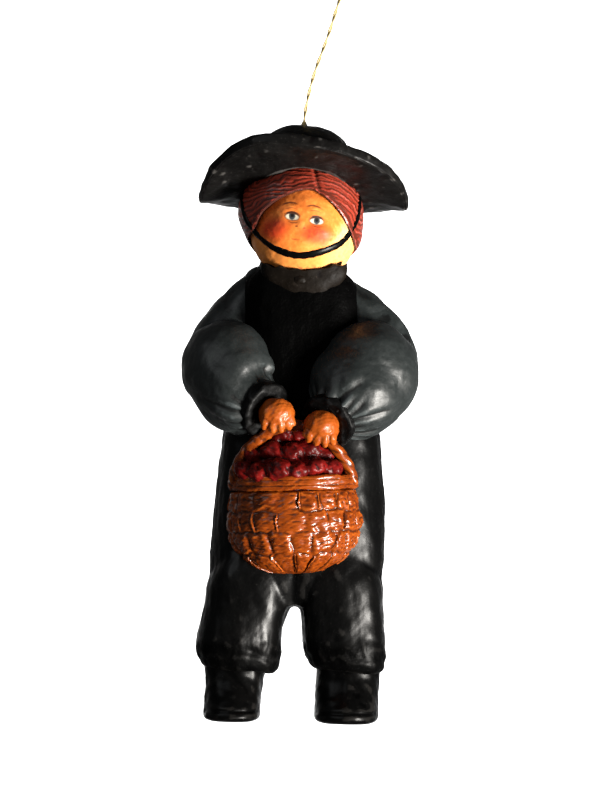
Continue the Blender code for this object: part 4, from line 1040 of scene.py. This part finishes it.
def basket_profile(share):
    """Width of the basket as a share of its widest, from the bottom at 0 to the rim at 1."""
    share, widest = np.asarray(share, float), 0.66
    belly = (1 - (1 - np.minimum(share / widest, 1)) ** 2.4) ** 0.5
    return belly * (1 - 0.06 * np.maximum(share - widest, 0) / 0.34)


def basket_wall(angle, share):
    """Points of the basket's wall at angles that are 0 at the front, and at shares of its height."""
    size = basket_profile(share)
    wide, deep = (BASKET_WIDE - BLOCK_THICK) * size, (BASKET_DEEP - BLOCK_THICK) * size
    return np.column_stack([wide * np.sin(angle), -deep * np.cos(angle), BASKET_TALL * share])


def row_edges(count, spread, rng):
    """The places, from 0 to 1, of this many uneven parts."""
    widths = 1 + rng.uniform(-spread, spread, count)
    return np.concatenate([[0], np.cumsum(widths)]) / widths.sum()


def weave_height(along, up, settings):
    """The carved weave: rows of uneven blocks, each a few flat strands, with a stake's ridge in some of the gaps."""
    rng = np.random.default_rng(settings.weave_seed)
    place = np.column_stack([np.cos(along) * 12, np.sin(along) * 12, up * 16])
    wobble = waves(place, 5.0, 112) * 0.020 + waves(place, 1.8, 113) * 0.012
    level = up + wobble
    edges = row_edges(settings.weave_rows, 0.10, rng)
    row = np.clip(np.searchsorted(edges, level) - 1, 0, settings.weave_rows - 1)
    height = np.zeros(len(along))
    around = 2 * np.pi * (BASKET_WIDE + BASKET_DEEP) / 2
    for index in range(settings.weave_rows):
        here = row == index
        count = round(around * float(basket_profile((index + 0.75) / settings.weave_rows)) / settings.block_width)
        cuts = row_edges(count, 0.34, rng)
        lifts, leans, steps = rng.uniform(0.55, 1.25, count), rng.uniform(-0.25, 0.25, count), rng.uniform(0, 1, count)
        share = (along / (2 * np.pi) + index * 0.37 + waves(place, 3.0, 114 + index) * 0.0045) % 1
        block = np.clip(np.searchsorted(cuts, share) - 1, 0, count - 1)
        low, wide = cuts[block], cuts[block + 1] - cuts[block]
        u = 2 * (share - low) / wide - 1
        v = 2 * (level - edges[index]) / (edges[index + 1] - edges[index]) - 1
        pillow = (1 - np.abs(u) ** 4.5) * (1 - np.abs(v) ** 6)
        strand = 0.80 + 0.20 * np.abs(np.cos(np.pi * (1.6 * v + 0.35 * leans[block] * u + steps[block]))) ** 0.6
        shape = 0.62 * lifts[block] * pillow * strand * (1 + 0.5 * leans[block] * u + 0.25 * v * leans[block])
        gap = np.minimum(share - low, low + wide - share) * around
        ridge = 0.72 * bell(gap, 0.0, 0.46) * (1 - np.abs(v) ** 4) * (steps[block] > 0.5)
        height[here] = np.maximum(shape, ridge)[here]
    filled = np.clip(0.10 + 0.18 * waves(place, 4.0, 118), 0.0, 0.32)
    height = np.log(np.exp(height * 12) + np.exp(filled * 12)) / 12
    return height + waves(place, 2.4, 117) * 0.12 + waves(place * (1, 1, 3), 1.3, 119) * 0.05


def basket_shape(settings):
    """The body of the basket, carved all round."""
    rows, around = 132, 520
    ups = np.concatenate([np.linspace(0.015, 1.0, rows - 8) ** 1.35, np.linspace(1.01, 1.09, 8)])
    along, up = (grid.ravel() for grid in np.meshgrid(circle(around), ups))
    wall = basket_wall(along, up)
    outward = wall * (1 / BASKET_WIDE**2, 1 / BASKET_DEEP**2, 0)
    outward[:, 2] = 0.03 * (up - 0.75)
    lift = weave_height(along % (2 * np.pi), up, settings) * ease(up, 0.0, 0.06)
    lift = lift * (1 - ease(up, 0.98, 1.02)) - 0.05 - 1.2 * ease(up, 0.995, 1.04)
    points = basket_place(wall + unit(outward) * lift[:, None])
    return mesh_from("basket", skin(points.reshape(rows, around, 3)))


def scatter(name, single, places, turns, sizes, jitter, seed, material):
    """Copies of the single object at the places, turned and sized, with a small seeded change of size, in one mesh."""
    mesh = bpy.data.meshes.new(name)
    mesh.from_pydata(np.asarray(places).tolist(), [], [])
    for label, values in (("turn", turns), ("size", sizes)):
        attribute = mesh.attributes.new(label, "FLOAT_VECTOR", "POINT")
        attribute.data.foreach_set("vector", np.asarray(values, np.float32).ravel())
    holder = add_object(name, mesh)

    tree = bpy.data.node_groups.new(name, "GeometryNodeTree")
    sockets = {"Geometry": tree.interface.new_socket("Geometry", in_out="INPUT", socket_type="NodeSocketGeometry")}
    for label, kind in (("Unit", "Object"), ("Jitter", "Float"), ("Seed", "Int"), ("Finish", "Material")):
        sockets[label] = tree.interface.new_socket(label, in_out="INPUT", socket_type=f"NodeSocket{kind}")
    tree.interface.new_socket("Geometry", in_out="OUTPUT", socket_type="NodeSocketGeometry")
    entry = add_node(tree, "NodeGroupInput")
    turn, size = (
        add_node(tree, "GeometryNodeInputNamedAttribute", {"data_type": "FLOAT_VECTOR"}, {"Name": label})[0]
        for label in ("turn", "size")
    )
    least, most = (
        add_node(tree, "ShaderNodeMath", {"operation": operation}, (1.0, entry["Jitter"]))[0]
        for operation in ("SUBTRACT", "ADD")
    )
    chance = {2: least, 3: most, "Seed": entry["Seed"]}
    scale = add_node(tree, "FunctionNodeRandomValue", {"data_type": "FLOAT"}, chance)[1]
    scale = add_node(tree, "ShaderNodeVectorMath", {"operation": "SCALE"}, {0: size, "Scale": scale})[0]
    info = add_node(tree, "GeometryNodeObjectInfo", None, {"Object": entry["Unit"]})
    parts = {"Points": entry["Geometry"], "Instance": info["Geometry"], "Rotation": turn, "Scale": scale}
    built = add_node(tree, "GeometryNodeInstanceOnPoints", None, parts)[0]
    built = add_node(tree, "GeometryNodeRealizeInstances", None, (built,))[0]
    built = add_node(tree, "GeometryNodeSetMaterial", None, {"Geometry": built, "Material": entry["Finish"]})[0]
    add_node(tree, "NodeGroupOutput", None, (built,))

    grow = holder.modifiers.new("grow", "NODES")
    grow.node_group = tree
    for label, value in (("Unit", single), ("Jitter", jitter), ("Seed", seed), ("Finish", material)):
        grow[sockets[label].identifier] = value
    made = plain_mesh(holder)
    for label in ("turn", "size"):
        if label in made.attributes:
            made.attributes.remove(made.attributes[label])
    for helper in (holder, single):
        bpy.data.objects.remove(helper)
    return made


def rim_shape():
    """The basket's rim, a band of a few flat rods."""
    angles = circle(220)
    rings = []
    profile = (
        (0.08, -1.3), (0.08, -0.30), (0.16, 0.05), (0.30, 0.14), (0.37, -0.02), (0.44, 0.10), (0.66, 0.14), (0.72, 0.0),
        (0.79, 0.06), (0.92, -0.05), (0.99, -0.5), (0.99, -1.5),
    )
    for rise, bulge in spline(profile, 4):
        wide, deep = BASKET_WIDE * 0.915 + bulge, BASKET_DEEP * 0.915 + bulge
        level = np.full(len(angles), BASKET_TALL + RIM_TALL * rise)
        rings.append(basket_place(np.column_stack([wide * np.sin(angles), -deep * np.cos(angles), level])))

    def height(points):
        return waves(points * (0.6, 0.6, 1.5), 2.6, 131) * 0.13 + waves(points, 0.7, 132) * 0.05

    return carve(mesh_from("basket_rim", skin(rings)), height)


def handle_shape():
    side, rim, reach = BASKET_WIDE * 0.845, BASKET_TALL + RIM_TALL * 0.5, BASKET_DEEP * 0.42
    knots = (
        (-1, 1.0, 0.6, 0.0), (-1, 0.96, 0.8, 0.25), (-1, 0.81, 1.0, 0.53), (-1, 0.58, 1.2, 0.76), (-1, 0.28, 1.3, 0.95),
        (1, 0.05, 1.35, 1.0), (1, 0.36, 1.3, 0.92), (1, 0.60, 1.2, 0.74), (1, 0.78, 1.0, 0.52), (1, 0.94, 0.8, 0.25),
        (1, 1.0, 0.6, 0.0),
    )
    route = basket_place([
        (sign * side * width, -reach * ahead, rim + HANDLE_TALL * up) for sign, width, ahead, up in knots
    ])

    def twist(turn, share):
        return 0.16 * np.abs(np.sin(turn * 1.5 + share * 46.0)) ** 0.7 - 0.08

    mesh = mesh_from("basket_handle", limb(route, [HANDLE_RADIUS] * len(knots), 14, 36, 5, twist))
    return carve(mesh, lambda points: waves(points, 1.6, 141) * 0.08)


APPLES = (
    (-0.72, -0.48, 0.45), (-0.47, -0.66, 0.30), (-0.18, -0.75, 0.50), (0.12, -0.74, 0.35), (0.40, -0.66, 0.60),
    (0.66, -0.50, 0.45), (-0.58, -0.34, 1.9), (-0.30, -0.46, 2.2), (0.03, -0.50, 1.9), (0.32, -0.42, 2.3),
    (0.57, -0.28, 1.8), (-0.13, -0.30, 3.7), (0.16, -0.26, 3.6), (-0.42, -0.12, 2.9), (0.42, -0.10, 3.1),
)


def apples_shape(settings, material):
    """The heap: apples placed across and along the basket and up from its rim, carved from one lump of wood."""
    rng = np.random.default_rng(settings.apple_seed)
    radius = settings.apple_radius
    apple = add_object("apple", mesh_from("apple", ball((0, 0, 0), (1, 1, 0.9), 18, 26)))
    places = basket_place([
        ((across * 0.86 - 0.045) * BASKET_WIDE, ahead * BASKET_DEEP, BASKET_TALL + RIM_TALL + up * radius * 0.86)
        for across, ahead, up in APPLES
    ])
    turns = rng.uniform(-0.5, 0.5, (len(places), 3))
    sizes = radius * rng.uniform(0.88, 1.15, (len(places), 3)) * (1.08, 1.0, 0.92)
    apples = scatter("apples", apple, places, turns, sizes, 0.06, settings.apple_seed, material)
    lump = basket_place([(0, -BASKET_DEEP * 0.14, BASKET_TALL + RIM_TALL * 0.5)])[0]
    shapes = [
        (points_of(apples), [tuple(polygon.vertices) for polygon in apples.polygons]),
        ball(lump, (BASKET_WIDE * 0.72, BASKET_DEEP * 0.70, 7.6), 40, 60),
    ]
    mesh = fused("apples", shapes, 0.19, 7)
    return carve(mesh, lambda points: swells(points, (2.0, 151, 0.16), (0.8, 152, 0.05)))


# Thread, in millimetres from the crown's top

STRAND, STRAND_STEP = 0.35, 0.16
THREAD_ROUTE = (
    (0.0, 0.0, 0.58), (0.2, 0.0, 2.88), (0.6, 0.0, 5.18), (1.2, 0.0, 7.98), (2.1, 0.0, 11.18), (3.3, 0.0, 14.58),
    (4.5, 0.0, 18.18), (5.5, 0.0, 21.58), (6.4, 0.0, 24.78),
)
EYE_LONG, EYE_WIDE, TWIST_PITCH, FIBRE_PITCH = 8.0, 4.6, 6.4, 0.42
EYE_OPENING = 0.28


def thread_lines():
    """The strand's own line, up round its other half, round the eye and back down, and the doubled thread's line."""
    route = spline([CROWN_TOP + point for point in THREAD_ROUTE], 40)
    along = travelled(route)
    steps = np.arange(0.0, along[-1], STRAND_STEP)
    middle = np.column_stack([np.interp(steps, along, route[:, axis]) for axis in range(3)])
    ahead = unit(np.gradient(middle, axis=0))
    across = unit(np.cross(ahead, (0.0, -1.0, 0.0)))
    deep = np.cross(ahead, across)
    turn = 2 * np.pi * (steps - steps[-1]) / TWIST_PITCH + math.pi
    reach = (STRAND * 0.5 + 0.01) * np.clip(0.3 + steps, 0.3, 1.0)
    offset = (across * np.cos(turn)[:, None] + deep * np.sin(turn)[:, None]) * reach[:, None]
    foot, up, side = middle[-1], ahead[-1], across[-1]
    eye = []
    for angle in np.linspace(EYE_OPENING, 2 * np.pi - EYE_OPENING, 110):
        share = 0.5 - 0.5 * math.cos(angle)
        width = -EYE_WIDE / 2 * math.sin(angle) * (0.35 + 0.75 * share)
        eye.append(foot + up * (0.475 + EYE_LONG * share) + side * width)
    path = np.vstack([middle + offset, eye, (middle - offset)[::-1]])
    rising = len(middle)
    for _ in range(8):
        smooth = path.copy()
        smooth[1:-1] = (path[:-2] + path[1:-1] * 2 + path[2:]) / 4
        near = np.zeros(len(path), bool)
        near[rising - 6:rising + 8] = True
        near[len(path) - rising - 8:len(path) - rising + 6] = True
        path[near] = smooth[near]
    return path, np.vstack([middle, path[rising:len(path) - rising]])


def thread_shape():
    path, doubled = thread_lines()
    frames = frames_along(path)
    turn = circle(12)
    rings = [point + spokes_at(turn, across, up) * STRAND / 2 for point, (across, up, _) in zip(path, frames)]
    mesh = mesh_from("hanging_thread", skin(rings))
    fibre = (travelled(path)[:, None] / FIBRE_PITCH + turn / (2 * np.pi)).ravel()
    store(mesh, "fibre", np.concatenate([[0], fibre, [0]]))
    return mesh, doubled


def knot_shape():
    """The knot's two frayed ends, which flare from the thread's foot down into the hole."""
    turn = circle(24)
    rings = []
    for rise, reach in ((-1.0, 0.30), (-0.9, 0.42), (-0.4, 0.56), (0.1, 0.60), (0.4, 0.50), (0.7, 0.36), (0.95, 0.24)):
        fray = reach * (1 + 0.12 * np.cos(turn * 7 + rise * 3))
        rings.append(CROWN_TOP + np.column_stack([fray * np.cos(turn), fray * np.sin(turn), np.full(24, rise)]))
    return mesh_from("thread_knot", skin(rings))


# Settings and operators

def colour_setting(name, description, colour):
    return FloatVectorProperty(name=name, description=description, subtype="COLOR", default=colour)


class OrnamentSettings(bpy.types.PropertyGroup):
    """Colours and counts of the figure."""

    black: colour_setting("Suit", "Paint of the tunic, breeches and boots", (0.0010, 0.0010, 0.0010))
    hat: colour_setting("Hat", "Paint of the hat", (0.0028, 0.0026, 0.0025))
    slate: colour_setting("Sleeves", "Paint of the puffed sleeves", (0.0090, 0.0112, 0.0112))
    hair: colour_setting("Hair", "Paint of the hair", (0.205, 0.024, 0.012))
    skin: colour_setting("Skin", "Paint of the face and hands", (0.78, 0.205, 0.034))
    basket: colour_setting("Basket", "Varnish of the basket", (0.185, 0.033, 0.0024))
    apple: colour_setting("Apples", "Paint of the apples", (0.115, 0.0040, 0.0032))
    thread: colour_setting("Thread", "Colour of the metallic thread", (0.66, 0.50, 0.21))
    weave_rows: IntProperty(name="Weave rows", description="Rows of the basket's weave", default=4, min=2, max=8)
    weave_seed: IntProperty(name="Weave seed", description="Chance pattern of the weave", default=5)
    block_width: FloatProperty(name="Block width", description="Width of the weave's blocks, millimetres", default=4.3)
    apple_radius: FloatProperty(name="Apple radius", description="Radius of an apple in millimetres", default=2.45)
    apple_seed: IntProperty(name="Apple seed", description="Chance pattern of the apples", default=8)


class StageSettings(bpy.types.PropertyGroup):
    """Camera, floor and lights."""

    distance: FloatProperty(name="Distance", description="Camera to figure", default=1.2, unit="LENGTH")
    frame_height: FloatProperty(name="View", description="Height of view at the figure", default=0.1534, unit="LENGTH")
    roll: FloatProperty(name="Roll", description="Roll of the camera", default=math.radians(1.2), subtype="ANGLE")
    floor_drop: FloatProperty(name="Floor drop", description="Floor below the soles", default=0.5, unit="LENGTH")
    key: FloatProperty(name="Key light", description="Power of the main light", default=1.1, unit="POWER")
    fill: FloatProperty(name="Fill light", description="Power of the soft light", default=0.10, unit="POWER")
    wall: FloatProperty(name="Wall light", description="Power of each light on the backdrop", default=2.6, unit="POWER")
    world: FloatProperty(name="World", description="Strength of the soft light from all round", default=0.08)


PAINTS = {}


def paint_of(name):
    if not PAINTS:
        PAINTS.update(make_paints(bpy.context.scene.ornament))
    return PAINTS[name]


class ORNAMENT_OT_suit(bpy.types.Operator):
    """Builds the tunic with its breeches, and the boots"""

    bl_idname = "ornament.suit"
    bl_label = "Suit and boots"

    def execute(self, context):
        add_piece("suit", suit_shape(), paint_of("black"))
        for side in SIDES:
            add_piece(f"{side}_boot", boot_shape(side), paint_of("boot"))
        return {"FINISHED"}


class ORNAMENT_OT_collar(bpy.types.Operator):
    """Builds the low collar and its button"""

    bl_idname = "ornament.collar"
    bl_label = "Collar"

    def execute(self, context):
        collar, button = collar_shapes()
        add_piece("collar", collar, paint_of("collar"))
        add_piece("collar_button", button, paint_of("collar"))
        return {"FINISHED"}


class ORNAMENT_OT_sleeves(bpy.types.Operator):
    """Builds the upper sleeves, the puffed lower sleeves and the cuffs"""

    bl_idname = "ornament.sleeves"
    bl_label = "Sleeves"

    def execute(self, context):
        for side in SIDES:
            add_piece(f"{side}_sleeve", sleeve_shape(side), paint_of("sleeve"))
            add_piece(f"{side}_puff", puff_shape(side), paint_of("slate"))
            add_piece(f"{side}_cuff", cuff_shape(side), paint_of("cuff"))
        return {"FINISHED"}


class ORNAMENT_OT_hands(bpy.types.Operator):
    """Builds the hands on the basket's handle"""

    bl_idname = "ornament.hands"
    bl_label = "Hands"

    def execute(self, context):
        for side in SIDES:
            add_piece(f"{side}_hand", hand_shape(side), paint_of("hand"))
        return {"FINISHED"}


class ORNAMENT_OT_head(bpy.types.Operator):
    """Builds the face, the hair and the chin strap"""

    bl_idname = "ornament.head"
    bl_label = "Head"

    def execute(self, context):
        add_piece("face", face_shape(), paint_of("face"))
        add_piece("hair", hair_shape(), paint_of("hair"), relief=4)
        add_piece("chin_strap", strap_shape(), paint_of("boot"), relief=0)
        return {"FINISHED"}


class ORNAMENT_OT_hat(bpy.types.Operator):
    """Builds the hat"""

    bl_idname = "ornament.hat"
    bl_label = "Hat"

    def execute(self, context):
        add_piece("hat", hat_shape(), paint_of("hat"))
        return {"FINISHED"}


class ORNAMENT_OT_basket(bpy.types.Operator):
    """Builds the basket: its weave, rim and handle"""

    bl_idname = "ornament.basket"
    bl_label = "Basket"

    def execute(self, context):
        paint = paint_of("basket")
        add_piece("basket", basket_shape(context.scene.ornament), paint, relief=5)
        add_piece("basket_rim", rim_shape(), paint, relief=4)
        add_piece("basket_handle", handle_shape(), paint, relief=4)
        return {"FINISHED"}


class ORNAMENT_OT_apples(bpy.types.Operator):
    """Builds the heap of apples"""

    bl_idname = "ornament.apples"
    bl_label = "Apples"

    def execute(self, context):
        paint = paint_of("apple")
        add_piece("apples", apples_shape(context.scene.ornament, paint), paint)
        return {"FINISHED"}


class ORNAMENT_OT_thread(bpy.types.Operator):
    """Builds the hanging thread with its eye, and the knot in the crown"""

    bl_idname = "ornament.thread"
    bl_label = "Thread"

    def execute(self, context):
        mesh, doubled = thread_shape()
        thread = add_piece("thread", mesh, paint_of("thread"), "hanging_thread", relief=0)
        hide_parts("thread_eye")
        knot = add_piece("knot", knot_shape(), paint_of("thread"), "thread_knot", relief=0)
        world = (doubled + ORIGIN) * MM
        return {"FINISHED"}


def add_light(name, target, away, size, spread, power, colour):
    """A rectangular light this far away from its target, with its beam's spread in degrees."""
    light = bpy.data.lights.new(name, "AREA")
    light.shape = "RECTANGLE"
    light.size, light.size_y = size
    light.energy = power
    light.color = colour
    light.spread = math.radians(spread)
    obj = add_object(name, light)
    obj.location = target + Vector(away)
    obj.rotation_euler = (target - obj.location).to_track_quat("-Z", "Y").to_euler()


class ORNAMENT_OT_stage(bpy.types.Operator):
    """Builds the floor, the lights and the camera"""

    bl_idname = "ornament.stage"
    bl_label = "Stage"

    def execute(self, context):
        scene, settings = context.scene, context.scene.ornament_stage
        soles = Vector(ORIGIN) * MM
        aim = soles + VIEW_MIDDLE

        bend, wide, depth, tall = 0.25, 2.4, 1.4, 1.8
        profile = [(-2.0, 0.0)] + [
            (depth - bend + bend * math.sin(a), bend - bend * math.cos(a)) for a in np.linspace(0, math.pi / 2, 13)
        ] + [(depth, tall)]
        base = soles.z - settings.floor_drop
        points = [(sign * wide + soles.x, y, base + z) for y, z in profile for sign in (-1, 1)]
        faces = [(2 * i, 2 * i + 1, 2 * i + 3, 2 * i + 2) for i in range(len(profile) - 1)]
        mesh = bpy.data.meshes.new("floor")
        mesh.from_pydata(points, [], faces)
        mesh.shade_smooth()
        pale = bpy.data.materials.new("pale_floor")
        pale.use_nodes = True
        shader = pale.node_tree.nodes["Principled BSDF"]
        shader.inputs["Base Color"].default_value = (0.86, 0.86, 0.86, 1)
        shader.inputs["Roughness"].default_value = 0.9
        mesh.materials.append(pale)
        add_object("floor", mesh)

        add_light("key_light", aim, (0.40, -0.30, -0.17), (0.15, 0.20), 50, settings.key, (1.0, 0.96, 0.90))
        add_light("fill_light", aim, (-0.42, -0.40, 0.35), (0.4, 0.4), 60, settings.fill, (0.93, 0.97, 1.0))
        wall = soles + Vector((0, depth, 0.06))
        for sign in (-1, 1):
            add_light("wall_light", wall, (sign * 0.55, -0.40, 0), (0.2, 0.5), 70, settings.wall, (1, 1, 1))
        world = bpy.data.worlds.new("studio")
        world.use_nodes = True
        background = world.node_tree.nodes["Background"]
        background.inputs["Color"].default_value = (1, 1, 1, 1)
        background.inputs["Strength"].default_value = settings.world
        scene.world = world
        scene.view_settings.view_transform = "Standard"

        camera = bpy.data.cameras.new("camera")
        camera.sensor_fit = "VERTICAL"
        camera.sensor_height = 24
        camera.lens = camera.sensor_height * settings.distance / settings.frame_height
        camera.clip_start = 0.01
        view = add_object("camera", camera)
        view.location = aim + Vector((0, -settings.distance, 0))
        view.rotation_euler = (math.pi / 2, -settings.roll, 0)
        scene.camera = view
        return {"FINISHED"}


class ORNAMENT_PT_panel(bpy.types.Panel):
    """Lists the steps in the order in which they are run"""

    bl_idname = "ORNAMENT_PT_panel"
    bl_label = "Carved ornament"
    bl_space_type = "VIEW_3D"
    bl_region_type = "UI"
    bl_category = "Ornament"

    def draw(self, context):
        for step in STEPS:
            self.layout.operator(step.bl_idname)
        for settings in (context.scene.ornament, context.scene.ornament_stage):
            box = self.layout.box()
            for name in settings.__annotations__:
                box.prop(settings, name)


STEPS = (
    ORNAMENT_OT_suit, ORNAMENT_OT_collar, ORNAMENT_OT_sleeves, ORNAMENT_OT_hands, ORNAMENT_OT_head, ORNAMENT_OT_hat,
    ORNAMENT_OT_basket, ORNAMENT_OT_apples, ORNAMENT_OT_thread, ORNAMENT_OT_stage,
)
CLASSES = (OrnamentSettings, StageSettings, *STEPS, ORNAMENT_PT_panel)


def register():
    for one in CLASSES:
        bpy.utils.register_class(one)
    bpy.types.Scene.ornament = PointerProperty(type=OrnamentSettings)
    bpy.types.Scene.ornament_stage = PointerProperty(type=StageSettings)


def unregister():
    del bpy.types.Scene.ornament_stage
    del bpy.types.Scene.ornament
    for one in reversed(CLASSES):
        bpy.utils.unregister_class(one)


def main():
    register()
    for step in STEPS:
        group, name = step.bl_idname.split(".")
        getattr(getattr(bpy.ops, group), name)()


if __name__ == "__main__":
    main()
